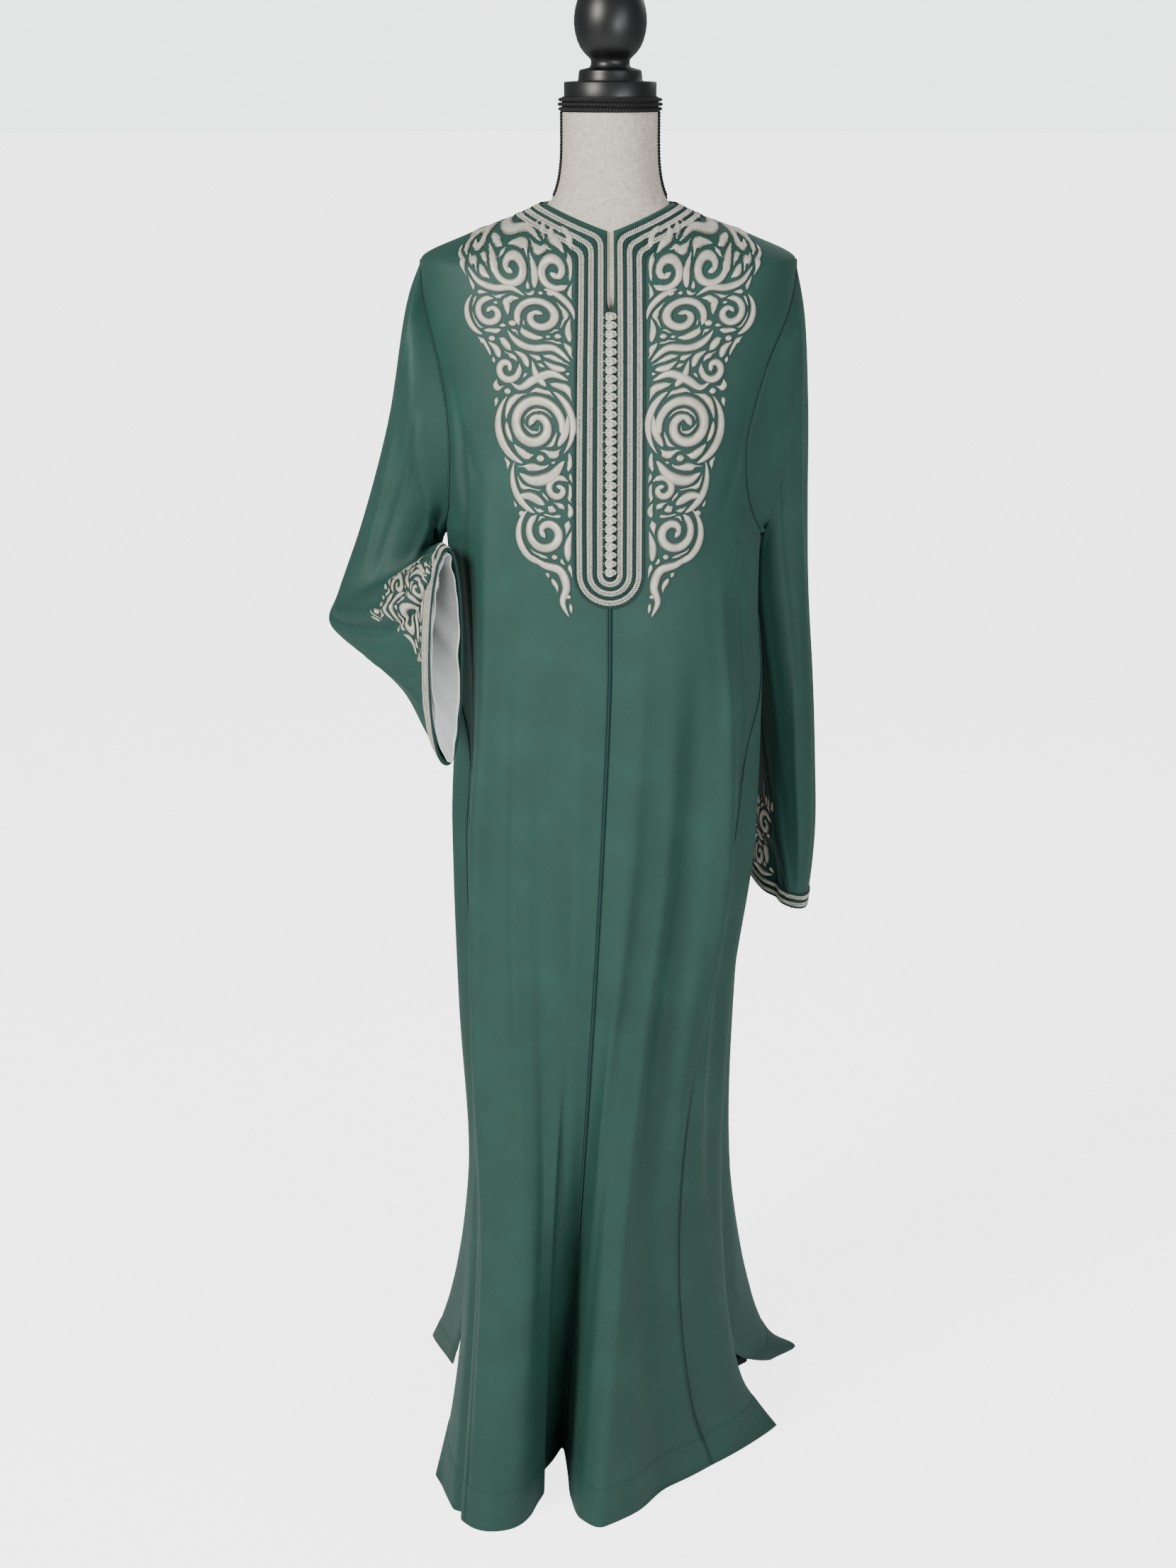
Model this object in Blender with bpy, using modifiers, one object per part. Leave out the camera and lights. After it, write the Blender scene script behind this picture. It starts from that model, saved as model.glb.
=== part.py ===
"""A long kaftan of sea green crepe on a limbless dress form.

Metres, +Z up. The pieces are drafted round the stand's post, on the floor, and then moved so that
the origin lies under the middle of the whole. The front faces -Y, and left and right are as seen
from the front. The cloth hangs as walls of one thickness round the open inside.
"""

import math
from collections import namedtuple

import bmesh
import bpy
import numpy as np
from mathutils import Vector

MM = 0.001
WALL = 1.8 * MM
LINING_WALL = 1.0 * MM
GAP = 0.3 * MM
SEAM_GAP = 0.4 * MM
LIFT = 0.5 * MM
BRAID_LIFT = 0.8 * MM
LINING_GAP = 0.9 * MM
UNDER_CLOTH = 1.2 * MM
ROUNDNESS = 0.92

# Heights that the garment is drafted from.
NECKLINE = 1.409
GORE_TOP = 0.980
HEM = 0.0
SLIT_FOOT = 1.322
SLIT_HALF_WIDTH = 3.5 * MM

# The trim of the front opening.
BRAID_WIDTH = 6.0 * MM
BRAID_THICKNESS = 1.3 * MM
BRAID_OFFSETS = {"inner": 9.7 * MM, "middle": 19.2 * MM, "outer": 28.7 * MM}
BRAID_TURN_HEIGHT = 1.053
BRAID_CORNER = 9.0 * MM
BUTTONS = 30
BUTTON_TOP = 1.318
BUTTON_FOOT = 1.056
BUTTON_SIZE = (9.6 * MM, 5.6 * MM, 7.0 * MM)

# The dress form and its stand.
NECK_TOP = 1.497
TRIM_TOP = 1.512
FORM_FOOT = 0.760
POST_RADIUS = 0.015
HUB_TOP = 0.175
HUB_FOOT = 0.115
LEG_RADIUS = 0.011
LEG_ROOT = 0.145
FOOT_HEIGHT = 0.006
LEG_BOW = 2.2

Section = namedtuple("Section", "height left right front back")
# Half-widths to each side of the post and depths before and behind it, round the garment.
TRUNK = (
    Section(1.409, 0.0660, 0.0630, 0.0590, 0.0570),
    Section(1.395, 0.0960, 0.0930, 0.0690, 0.0660),
    Section(1.377, 0.1460, 0.1440, 0.0820, 0.0790),
    Section(1.352, 0.1930, 0.1900, 0.0950, 0.0900),
    Section(1.310, 0.1920, 0.1880, 0.1090, 0.0980),
    Section(1.250, 0.1850, 0.1770, 0.1230, 0.1040),
    Section(1.190, 0.1790, 0.1680, 0.1340, 0.1050),
    Section(1.100, 0.1730, 0.1600, 0.1400, 0.1010),
    Section(1.000, 0.1670, 0.1580, 0.1430, 0.1000),
    Section(0.900, 0.1650, 0.1640, 0.1470, 0.1100),
    Section(0.750, 0.1710, 0.1610, 0.1530, 0.1260),
    Section(0.550, 0.1660, 0.1370, 0.1640, 0.1500),
    Section(0.350, 0.1560, 0.1270, 0.1770, 0.1760),
    Section(0.000, 0.1740, 0.1480, 0.2000, 0.2150),
)
# The same of the linen form, which the shoulders of the garment lie on.
FORM = (
    Section(1.352, 0.1860, 0.1840, 0.0880, 0.0820),
    Section(1.310, 0.1680, 0.1640, 0.0980, 0.0840),
    Section(1.250, 0.1560, 0.1500, 0.1100, 0.0840),
    Section(1.190, 0.1500, 0.1440, 0.1200, 0.0820),
    Section(1.100, 0.1380, 0.1340, 0.1120, 0.0780),
    Section(1.000, 0.1220, 0.1200, 0.0920, 0.0720),
    Section(0.880, 0.1440, 0.1420, 0.1000, 0.0860),
    Section(0.760, 0.1480, 0.1460, 0.1020, 0.0960),
)

Drop = namedtuple("Drop", "height front")
# How much lower the neckline and the rings near it lie at the front than at the shoulders.
NECK_DROP = (Drop(NECKLINE, 0.026), Drop(1.352, 0.024), Drop(1.300, 0.008), Drop(1.265, 0.0))

Hem = namedtuple("Hem", "turn x y start")
# Where the hem stands on the floor, by the turn round the post, and the height that its folds reach.
HEM_FRONT = (
    Hem(-90, -0.196, -0.103, 0.11),
    Hem(-82, -0.186, -0.130, 0.26),
    Hem(-70, -0.173, -0.170, 0.46),
    Hem(-58, -0.158, -0.198, 0.62),
    Hem(-46, -0.138, -0.213, 0.70),
    Hem(-34, -0.107, -0.210, 0.72),
    Hem(-24, -0.078, -0.187, 0.72),
    Hem(-16, -0.064, -0.148, 0.70),
    Hem(-8, -0.060, -0.100, 0.70),
    Hem(0, -0.052, -0.048, 0.70),
    Hem(8, -0.045, -0.100, 0.70),
    Hem(16, -0.041, -0.150, 0.70),
    Hem(24, -0.030, -0.190, 0.70),
    Hem(34, -0.004, -0.205, 0.70),
    Hem(45, 0.034, -0.176, 0.66),
    Hem(56, 0.076, -0.130, 0.60),
    Hem(68, 0.124, -0.080, 0.44),
    Hem(80, 0.166, -0.040, 0.22),
    Hem(90, 0.201, 0.001, 0.11),
)
HEM_BACK = (
    Hem(90, 0.204, 0.150, 0.12),
    Hem(96, 0.238, 0.184, 0.12),
    Hem(103, 0.216, 0.208, 0.18),
    Hem(112, 0.176, 0.226, 0.50),
    Hem(122, 0.138, 0.206, 0.62),
    Hem(132, 0.112, 0.176, 0.70),
    Hem(142, 0.094, 0.214, 0.76),
    Hem(154, 0.060, 0.252, 0.80),
    Hem(165, 0.024, 0.240, 0.80),
    Hem(173, 0.006, 0.196, 0.84),
    Hem(180, -0.008, 0.166, 0.84),
    Hem(187, -0.020, 0.198, 0.84),
    Hem(196, -0.040, 0.244, 0.80),
    Hem(208, -0.078, 0.254, 0.76),
    Hem(220, -0.108, 0.222, 0.72),
    Hem(229, -0.122, 0.178, 0.66),
    Hem(240, -0.150, 0.212, 0.58),
    Hem(250, -0.176, 0.232, 0.48),
    Hem(257, -0.203, 0.228, 0.36),
    Hem(264, -0.219, 0.212, 0.26),
    Hem(270, -0.190, 0.140, 0.20),
)
# How steeply the hem's places take over from the rings, sideways and in depth.
LEAN_START = 0.95
LEAN_POWER = 1.2
FOLD_POWER = 1.5

Fold = namedtuple("Fold", "top foot top_turn foot_turn half_width depth")
# Long soft folds: a ridge stands out of the rings and a trough, with a depth below 0, goes in.
FOLDS = (
    Fold(1.16, 0.28, -47, -50, 13, 0.009),
    Fold(1.12, 0.34, -68, -72, 12, -0.012),
    Fold(0.92, 0.24, 48, 50, 12, 0.009),
    Fold(0.96, 0.30, 68, 72, 12, -0.012),
    Fold(1.20, 0.22, 150, 148, 14, -0.010),
    Fold(1.20, 0.22, 206, 210, 14, -0.010),
    Fold(1.28, 0.36, 122, 126, 14, 0.008),
    Fold(1.28, 0.36, 238, 236, 14, 0.008),
)

Seam = namedtuple("Seam", "height turn")
# Seams by height, as turns round the post: the armhole above the armpit, the gore seam below it.
SIDE_LEFT_FRONT = (
    Seam(1.409, -90), Seam(1.352, -90), Seam(1.318, -81), Seam(1.290, -74), Seam(1.255, -69),
    Seam(1.215, -66), Seam(1.175, -66), Seam(1.135, -69), Seam(1.100, -75), Seam(1.080, -83),
    Seam(1.070, -90), Seam(0.986, -90), Seam(0.980, -89), Seam(0.900, -77), Seam(0.830, -68),
    Seam(0.730, -60), Seam(0.500, -56), Seam(0.260, -57), Seam(0.000, -58),
)
SIDE_RIGHT_FRONT = (
    Seam(1.409, 90), Seam(1.352, 90), Seam(1.318, 80), Seam(1.290, 71), Seam(1.255, 63),
    Seam(1.215, 58), Seam(1.175, 55), Seam(1.135, 58), Seam(1.100, 66), Seam(1.080, 78),
    Seam(1.070, 90), Seam(0.986, 90), Seam(0.980, 89), Seam(0.900, 77), Seam(0.830, 66),
    Seam(0.730, 57), Seam(0.500, 54), Seam(0.260, 57), Seam(0.100, 61), Seam(0.000, 67),
)
SIDE_RIGHT_BACK = (
    Seam(1.409, 90), Seam(1.352, 90), Seam(1.318, 100), Seam(1.290, 107), Seam(1.255, 113),
    Seam(1.215, 117), Seam(1.175, 118), Seam(1.135, 115), Seam(1.100, 107), Seam(1.080, 98),
    Seam(1.070, 90), Seam(0.986, 90), Seam(0.980, 91), Seam(0.830, 110), Seam(0.600, 121),
    Seam(0.000, 124),
)
SIDE_LEFT_BACK = tuple(Seam(row.height, 360 - row.turn) for row in SIDE_RIGHT_BACK)

ARM_ROWS = (1.352, 1.338, 1.318, 1.290, 1.255, 1.215, 1.175, 1.135, 1.100, 1.080, 1.070)
UPPER_ROWS = (1.409, 1.398, 1.386, 1.370)
LOWER_ROWS = (1.030, 0.986)
GORE_ROWS = (0.980, 0.930, 0.870, 0.800, 0.730, 0.660, 0.580, 0.500, 0.420, 0.340, 0.260)
VENT_ROWS = (0.190, 0.150, 0.110, 0.070, 0.035, 0.0)
# Columns of a front, as shares of its width from the centre: closer in the deep fold at the centre.
FRONT_COLUMNS = (0.0, 0.07, 0.14, 0.22, 0.30, 0.40, 0.50, 0.62, 0.74, 0.87, 1.0)
BACK_COLUMNS = 17
GORE_COLUMNS = (0.0, 0.25, 0.5, 0.75, 1.0)
# A back gore's columns, from the side seam, are closer round the corner that its vent turns out.
BACK_GORE_COLUMNS = (0.0, 0.09, 0.18, 0.27, 0.38, 0.50, 0.65, 0.82, 1.0)

Ring = namedtuple("Ring", "outer inner front back")
# Sleeve rings after the armhole: the outer and the inner fold, then how far the middle of the
# front and of the back layer lies from the line between them, across and along the depth.
LEFT_SLEEVE = (
    Ring((-0.206, 0.004, 1.318), (-0.177, 0.010, 1.064), (0.0, -0.070), (0.0, 0.072)),
    Ring((-0.232, 0.008, 1.182), (-0.177, 0.018, 1.058), (0.0, -0.052), (0.0, 0.062)),
    Ring((-0.262, 0.008, 1.078), (-0.177, 0.010, 1.055), (0.0, -0.040), (0.0, 0.055)),
    Ring((-0.288, 0.004, 1.006), (-0.176, -0.014, 1.056), (0.002, -0.036), (0.0, 0.050)),
    Ring((-0.296, -0.014, 0.976), (-0.174, -0.062, 1.068), (-0.004, -0.030), (0.004, 0.048)),
    Ring((-0.252, -0.046, 0.945), (-0.173, -0.088, 1.074), (-0.006, -0.034), (0.006, 0.040)),
    Ring((-0.211, -0.076, 0.913), (-0.171, -0.101, 1.077), (-0.008, -0.030), (0.008, 0.030)),
    Ring((-0.187, -0.096, 0.876), (-0.168, -0.110, 1.076), (-0.013, -0.026), (0.012, 0.022)),
    Ring((-0.167, -0.108, 0.845), (-0.163, -0.116, 1.074), (-0.019, -0.022), (0.014, 0.017)),
)
RIGHT_SLEEVE = (
    Ring((0.201, 0.010, 1.300), (0.168, 0.020, 1.063), (-0.004, -0.056), (0.0, 0.074)),
    Ring((0.209, 0.026, 1.205), (0.159, 0.046, 1.034), (-0.006, -0.056), (0.0, 0.078)),
    Ring((0.213, 0.046, 1.100), (0.156, 0.062, 0.985), (-0.004, -0.060), (0.0, 0.084)),
    Ring((0.217, 0.064, 1.000), (0.158, 0.074, 0.930), (0.002, -0.066), (-0.002, 0.090)),
    Ring((0.224, 0.076, 0.900), (0.162, 0.086, 0.868), (0.006, -0.074), (-0.004, 0.098)),
    Ring((0.229, 0.088, 0.800), (0.165, 0.096, 0.795), (0.008, -0.082), (-0.008, 0.106)),
    Ring((0.230, 0.097, 0.725), (0.166, 0.105, 0.722), (0.011, -0.087), (-0.012, 0.114)),
    Ring((0.227, 0.102, 0.680), (0.166, 0.110, 0.684), (0.012, -0.089), (-0.015, 0.118)),
    Ring((0.222, 0.106, 0.636), (0.166, 0.116, 0.648), (0.012, -0.090), (-0.018, 0.122)),
)
RING_POINTS = 20
RINGS_BETWEEN = 2
LINING_RINGS = 4
CUFF_BRAIDS = {"edge": 2.5 * MM, "second": 11.0 * MM}
CUFF_BRAID_WIDTH = 5.0 * MM

Leg = namedtuple("Leg", "direction reach")
LEGS = {"rear_right": Leg(42, 0.226), "rear_left": Leg(157, 0.182), "front": Leg(272, 0.182)}

Material = namedtuple("Material", "color roughness metallic")
CREPE = Material((0.052, 0.128, 0.106), 0.62, 0.0)
SATIN = Material((0.72, 0.75, 0.74), 0.38, 0.0)
SILVER_THREAD = Material((0.58, 0.55, 0.47), 0.45, 0.35)
LINEN = Material((0.62, 0.57, 0.48), 0.85, 0.0)
GIMP = Material((0.012, 0.012, 0.014), 0.75, 0.0)
BLACK_WOOD = Material((0.010, 0.010, 0.012), 0.35, 0.0)


def column_at(rows, column, at):
    """One column of a table, as a curve over the table's first column that never overshoots."""
    rows = sorted(rows, key=lambda row: row[0])
    places = np.array([row[0] for row in rows], float)
    values = np.array([getattr(row, column) for row in rows], float)
    steps = np.diff(places)
    rises = np.diff(values) / steps
    slopes = np.zeros(len(rows))
    slopes[0], slopes[-1] = rises[0], rises[-1]
    same = rises[:-1] * rises[1:] > 0
    before, after = rises[:-1][same], rises[1:][same]
    slopes[1:-1][same] = 2 * before * after / (before + after)
    at = np.clip(np.asarray(at, float), places[0], places[-1])
    index = np.clip(np.searchsorted(places, at, side="right") - 1, 0, len(steps) - 1)
    step = steps[index]
    share = (at - places[index]) / step
    rest = 1 - share
    return (
        values[index] * (1 + 2 * share) * rest**2
        + values[index + 1] * (3 - 2 * share) * share**2
        + step * share * rest * (slopes[index] * rest - slopes[index + 1] * share)
    )


def ease(share):
    """0 to 1 with a soft start and end."""
    share = np.clip(share, 0, 1)
    return share**2 * (3 - 2 * share)


def plain_ring(sections, turn, height):
    """A point of the rings round the post, with the front of the neckline lowered and no folds."""
    side = np.sin(np.radians(turn))
    ahead = np.cos(np.radians(turn))
    left, right, front, back = (column_at(sections, name, height) for name in Section._fields[1:])
    wide = np.where(side < 0, left, right)
    deep = np.where(ahead > 0, front, back)
    x = wide * np.sign(side) * np.abs(side) ** ROUNDNESS
    y = -deep * np.sign(ahead) * np.abs(ahead) ** ROUNDNESS
    lowered = column_at(NECK_DROP, "front", height) * (1 - np.abs(side)) * (ahead > 0)
    return np.stack([x, y, height - lowered], axis=-1)


def hem_moves(rows):
    """How far the hem's places lie from the lowest plain ring, as a table over the turn."""
    move = namedtuple("Move", "turn x y start")
    found = []
    for row in rows:
        ring = plain_ring(TRUNK, float(row.turn), HEM)
        found.append(move(row.turn, row.x - ring[0], row.y - ring[1], row.start))
    return tuple(found)


MOVES_FRONT = hem_moves(HEM_FRONT)
MOVES_BACK = hem_moves(HEM_BACK)


def folds_out(turn, height):
    """How far the long folds stand out of the rings."""
    out = np.zeros(np.broadcast(turn, height).shape)
    for fold in FOLDS:
        down = np.clip((fold.top - height) / (fold.top - fold.foot), 0, 1)
        middle = fold.top_turn + (fold.foot_turn - fold.top_turn) * down
        across = np.clip((turn - middle) / fold.half_width, -1, 1)
        out += fold.depth * np.cos(across * math.pi / 2) ** 2 * np.sin(down * math.pi) ** 0.8
    return out


def body(turn, height, rear=False):
    """The outer face of the kaftan's body. Turns run from -90 through the front to 90, and on to
    270 round the back, where rear is set."""
    turn, height = np.broadcast_arrays(np.asarray(turn, float), np.asarray(height, float))
    point = plain_ring(TRUNK, turn, height)
    moves = MOVES_BACK if rear else MOVES_FRONT
    lean = np.clip((LEAN_START - height) / LEAN_START, 0, 1) ** LEAN_POWER
    start = column_at(moves, "start", turn)
    sink = np.clip((start - height) / start, 0, 1) ** FOLD_POWER
    near_side = ease((90 - np.abs(np.where(turn > 90, turn - 180, turn))) / 30)
    lean = sink + (lean - sink) * near_side
    outward = np.stack([np.sin(np.radians(turn)), -np.cos(np.radians(turn))], axis=-1)
    point[..., 0] += lean * column_at(moves, "x", turn)
    point[..., 1] += sink * column_at(moves, "y", turn)
    point[..., :2] += outward * folds_out(turn, height)[..., None]
    return point


def unit(vectors):
    return vectors / np.linalg.norm(vectors, axis=-1, keepdims=True)


def body_normal(turn, height, rear=False):
    """The outward normal of the body's outer face."""
    near, tall = 0.4, 2 * MM
    across = body(turn + near, height, rear) - body(turn - near, height, rear)
    up = body(turn, height + tall, rear) - body(turn, height - tall, rear)
    low = np.asarray(height) - tall < HEM
    up = np.where(np.broadcast_to(low, up.shape[:-1])[..., None],
                  body(turn, height + tall, rear) - body(turn, height, rear), up)
    return unit(np.cross(across, up))


def degrees_of(length, turn, height, rear=False):
    """The turn that a length across the cloth takes up at a place."""
    step = 0.5
    across = body(turn + step, height, rear) - body(turn - step, height, rear)
    return length * 2 * step / np.linalg.norm(across, axis=-1)


def add_object(name, points, faces, material):
    """A closed body from its points and faces, its faces turned outwards, in the part's collection."""
    mesh = bpy.data.meshes.new(name)
    work = bmesh.new()
    vertices = [work.verts.new(point) for point in points]
    for face in faces:
        work.faces.new([vertices[index] for index in face])
    bmesh.ops.recalc_face_normals(work, faces=work.faces)
    work.to_mesh(mesh)
    work.free()
    obj = bpy.data.objects.new(name, mesh)
    finish(obj, material)
    return obj


def finish(obj, material):
    """Smooth shading with sharp rims, the material and the collection."""
    obj.data.materials.append(material)
    if obj.type == "MESH":
        obj.data.shade_smooth()
        obj.data.set_sharp_from_angle(angle=math.radians(50))
    bpy.data.collections["kaftan_on_dress_form"].objects.link(obj)


def add_wall(name, outer, inner, material, closed=False):
    """A sheet of cloth between two grids of points, rows by columns, with its rims closed.
    A closed one runs round, as a sleeve does."""
    rows, columns = outer.shape[:2]
    count = rows * columns
    spans = columns if closed else columns - 1
    faces = []

    def at(row, column, layer):
        return layer * count + row * columns + column % columns

    for row in range(rows - 1):
        for column in range(spans):
            corners = ((row, column), (row, column + 1), (row + 1, column + 1), (row + 1, column))
            # Both layers are cut along the same diagonal, so that they never cross.
            for flat in (corners[:3], corners[2:] + corners[:1]):
                faces.append([at(*corner, 0) for corner in flat])
                faces.append([at(*corner, 1) for corner in reversed(flat)])
    for row in (0, rows - 1):
        for column in range(spans):
            faces.append([at(row, column, 0), at(row, column + 1, 0),
                          at(row, column + 1, 1), at(row, column, 1)])
    if not closed:
        for column in (0, columns - 1):
            for row in range(rows - 1):
                faces.append([at(row, column, 0), at(row + 1, column, 0),
                              at(row + 1, column, 1), at(row, column, 1)])
    points = np.concatenate([outer.reshape(-1, 3), inner.reshape(-1, 3)])
    return add_object(name, points, faces, material)


def add_panel(name, rows, first_edge, last_edge, columns, material, rear=False):
    """A body panel between two edges, given as turns for each row."""
    height = np.asarray(rows, float)[:, None]
    first, last = np.asarray(first_edge)[:, None], np.asarray(last_edge)[:, None]
    turn = first + (last - first) * np.asarray(columns)[None, :]
    height = np.broadcast_to(height, turn.shape)
    outer = body(turn, height, rear)
    normals = body_normal(turn, height, rear)
    # Between the edges the wall is set square to the flats beside each point, so it stays even.
    across = outer[:, 2:] - outer[:, :-2]
    up = -np.gradient(outer, axis=0)[:, 1:-1]
    turned_out = np.where(last_edge[0] > first_edge[0], 1, -1)
    normals[:, 1:-1] = unit(np.cross(across * turned_out, up))
    inner = outer - WALL * normals
    inner[..., 2] = np.maximum(inner[..., 2], HEM)
    return add_wall(name, outer, inner, material)


def seam_turns(seam, rows, side, rear=False):
    """A seam's turns at the rows, moved half a seam gap to one side (-1 or 1)."""
    rows = np.asarray(rows, float)
    turns = column_at(seam, "turn", rows)
    return turns + side * degrees_of(SEAM_GAP / 2, turns, rows, rear)


def slit_turns(rows, side):
    """The centre edge of a front: parted at the neck, then a seam."""
    rows = np.asarray(rows, float)
    open_share = ease((rows - SLIT_FOOT) / (20 * MM))
    half = SEAM_GAP / 2 + (SLIT_HALF_WIDTH - SEAM_GAP / 2) * open_share
    return side * degrees_of(half, np.zeros(len(rows)), rows)


def build_body(crepe):
    """Two fronts, the back and four gores, parted at their seams."""
    rows = UPPER_ROWS + ARM_ROWS + LOWER_ROWS + GORE_ROWS + VENT_ROWS
    add_panel("front_left", rows, slit_turns(rows, -1), seam_turns(SIDE_LEFT_FRONT, rows, 1),
              FRONT_COLUMNS, crepe)
    add_panel("front_right", rows, slit_turns(rows, 1), seam_turns(SIDE_RIGHT_FRONT, rows, -1),
              FRONT_COLUMNS, crepe)
    add_panel("back", rows, seam_turns(SIDE_RIGHT_BACK, rows, 1, True),
              seam_turns(SIDE_LEFT_BACK, rows, -1, True), np.linspace(0, 1, BACK_COLUMNS), crepe, True)
    low = GORE_ROWS + VENT_ROWS
    # The side seams stand at turns of 90 each way. A gore's top lies a gap below the panel beside it.
    low = (GORE_TOP - GAP,) + low[1:]
    sides = {turn: np.full(len(low), float(turn)) for turn in (-90, 90, 270)}
    gap = {
        turn: degrees_of(SEAM_GAP / 2, sides[turn], np.array(low), turn == 270) for turn in sides
    }
    add_panel("gore_front_left", low, sides[-90] + gap[-90], seam_turns(SIDE_LEFT_FRONT, low, -1),
              GORE_COLUMNS, crepe)
    add_panel("gore_front_right", low, seam_turns(SIDE_RIGHT_FRONT, low, 1), sides[90] - gap[90],
              GORE_COLUMNS, crepe)
    add_panel("gore_back_right", low, sides[90] + gap[90], seam_turns(SIDE_RIGHT_BACK, low, -1, True),
              BACK_GORE_COLUMNS, crepe, True)
    add_panel("gore_back_left", low, seam_turns(SIDE_LEFT_BACK, low, 1, True), sides[270] - gap[270],
              [1 - share for share in reversed(BACK_GORE_COLUMNS)], crepe, True)


def armhole(front_seam, back_seam):
    """The armhole's outer points and normals, from the shoulder tip down the front to the armpit
    and up the back, set a gap inside the panels' edges."""
    heights = np.array(ARM_ROWS)
    down = column_at(front_seam, "turn", heights)
    up = column_at(back_seam, "turn", heights)[::-1]
    points = np.concatenate([body(down, heights), body(up, heights[::-1], True)[1:-1]])
    normals = np.concatenate(
        [body_normal(down, heights), body_normal(up, heights[::-1], True)[1:-1]]
    )
    middle = points.mean(axis=0)
    return points + SEAM_GAP * unit(middle - points), normals


def ring_points(ring):
    """A flattened loop from one row of a sleeve's table."""
    outer, inner = np.array(ring.outer), np.array(ring.inner)
    around = np.arange(RING_POINTS) * 2 * math.pi / RING_POINTS
    middle = (outer + inner) / 2
    along = (outer - inner) / 2
    depth = np.where(np.sin(around)[:, None] > 0, [(*ring.front, 0)], [(*ring.back, 0)])
    full = np.abs(np.sin(around)[:, None]) ** 0.9
    return middle + along * np.cos(around)[:, None] + depth * full


def through(keys, between):
    """Points on smooth curves through the key rings, so many steps from each to the next."""
    keys = np.asarray(keys)
    steps = np.linalg.norm(np.diff(keys, axis=0), axis=-1).mean(axis=-1)
    places = np.concatenate([[0], np.cumsum(steps)])
    slopes = np.gradient(keys, places, axis=0)
    rings = []
    for index in range(len(keys) - 1):
        for share in np.arange(between) / between:
            rest, step = 1 - share, steps[index]
            rings.append(
                keys[index] * (1 + 2 * share) * rest**2
                + keys[index + 1] * (3 - 2 * share) * share**2
                + step * share * rest * (slopes[index] * rest - slopes[index + 1] * share)
            )
    return np.array(rings + [keys[-1]])


def grid_normals(rings, middle_line):
    """Outward normals of a tube of rings, away from its middle line."""
    along = np.gradient(rings, axis=0)
    around = np.roll(rings, -1, axis=1) - np.roll(rings, 1, axis=1)
    normals = unit(np.cross(along, around))
    out = np.einsum("ijk,ijk->ij", normals, rings - middle_line[:, None])
    return normals * np.where(out.mean() < 0, -1, 1)


def sleeve_rings(table, front_seam, back_seam):
    """The sleeve's outer and inner rings, from the armhole to the cuff."""
    start, start_normals = armhole(front_seam, back_seam)
    outer = through([start] + [ring_points(ring) for ring in table], RINGS_BETWEEN)
    normals = grid_normals(outer, outer.mean(axis=1))
    normals[0] = unit(normals[0] + start_normals)
    return outer, normals


def add_loop(name, base, top, material):
    """A flat closed band from its two lower and two upper edges."""
    rings = np.stack([base[0], base[1], top[1], top[0]])
    count = len(base[0])
    faces = []
    for side in range(4):
        for index in range(count):
            following = (index + 1) % count
            other = (side + 1) % 4
            faces.append([side * count + index, side * count + following,
                          other * count + following, other * count + index])
    return add_object(name, rings.reshape(-1, 3), faces, material)


def up_from_cuff(rings, values, distance):
    """Values at a distance up the sleeve from the cuff's edge, along each line of points."""
    found = []
    for column in range(rings.shape[1]):
        line = rings[::-1, column]
        lengths = np.concatenate([[0], np.cumsum(np.linalg.norm(np.diff(line, axis=0), axis=1))])
        found.append([np.interp(distance, lengths, values[::-1, column, axis]) for axis in range(3)])
    return np.array(found)


def add_cuff_braid(name, outer, normals, start, material):
    """A braid round a sleeve, its lower edge at a distance from the cuff's edge."""
    places = (start, start + CUFF_BRAID_WIDTH)
    edges = [up_from_cuff(outer, outer, place) for place in places]
    lifts = [unit(up_from_cuff(outer, normals, place)) for place in places]
    base = [edge + lift * BRAID_LIFT for edge, lift in zip(edges, lifts)]
    top = [edge + lift * (BRAID_LIFT + BRAID_THICKNESS) for edge, lift in zip(edges, lifts)]
    add_loop(name, base, top, material)


def build_sleeves(crepe, satin, silver):
    """Both sleeves, their cuffs' linings and braids."""
    sides = {
        "left": (LEFT_SLEEVE, SIDE_LEFT_FRONT, SIDE_LEFT_BACK),
        "right": (RIGHT_SLEEVE, SIDE_RIGHT_FRONT, SIDE_RIGHT_BACK),
    }
    for side, (table, front_seam, back_seam) in sides.items():
        outer, normals = sleeve_rings(table, front_seam, back_seam)
        add_wall(f"sleeve_{side}", outer, outer - WALL * normals, crepe, closed=True)
        near = slice(len(outer) - LINING_RINGS, None)
        face = outer[near] - (WALL + LINING_GAP) * normals[near]
        add_wall(f"cuff_lining_{side}", face, face - LINING_WALL * normals[near], satin, closed=True)
        for place, start in CUFF_BRAIDS.items():
            add_cuff_braid(f"cuff_braid_{side}_{place}", outer, normals, start, silver)


def turn_across(length, height):
    """The turn that lies a length to the right of the front's centre, across the cloth."""
    turns = np.linspace(0, 60, 121)
    points = body(turns, np.full(len(turns), height))
    lengths = np.concatenate([[0], np.cumsum(np.linalg.norm(np.diff(points, axis=0), axis=1))])
    return float(np.interp(length, lengths, turns))


def lengths_below_neck(turn, rear=False):
    """Heights down the cloth from the neckline, and the lengths along the cloth to them."""
    heights = np.linspace(NECKLINE, BRAID_TURN_HEIGHT, 240)
    points = body(np.full(len(heights), float(turn)), heights, rear)
    lengths = np.concatenate([[0], np.cumsum(np.linalg.norm(np.diff(points, axis=0), axis=1))])
    return heights, lengths


def height_below_neck(length, turn, rear=False):
    """The height that lies a length down the cloth from the neckline."""
    heights, lengths = lengths_below_neck(turn, rear)
    return float(np.interp(length, lengths, heights))


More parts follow.
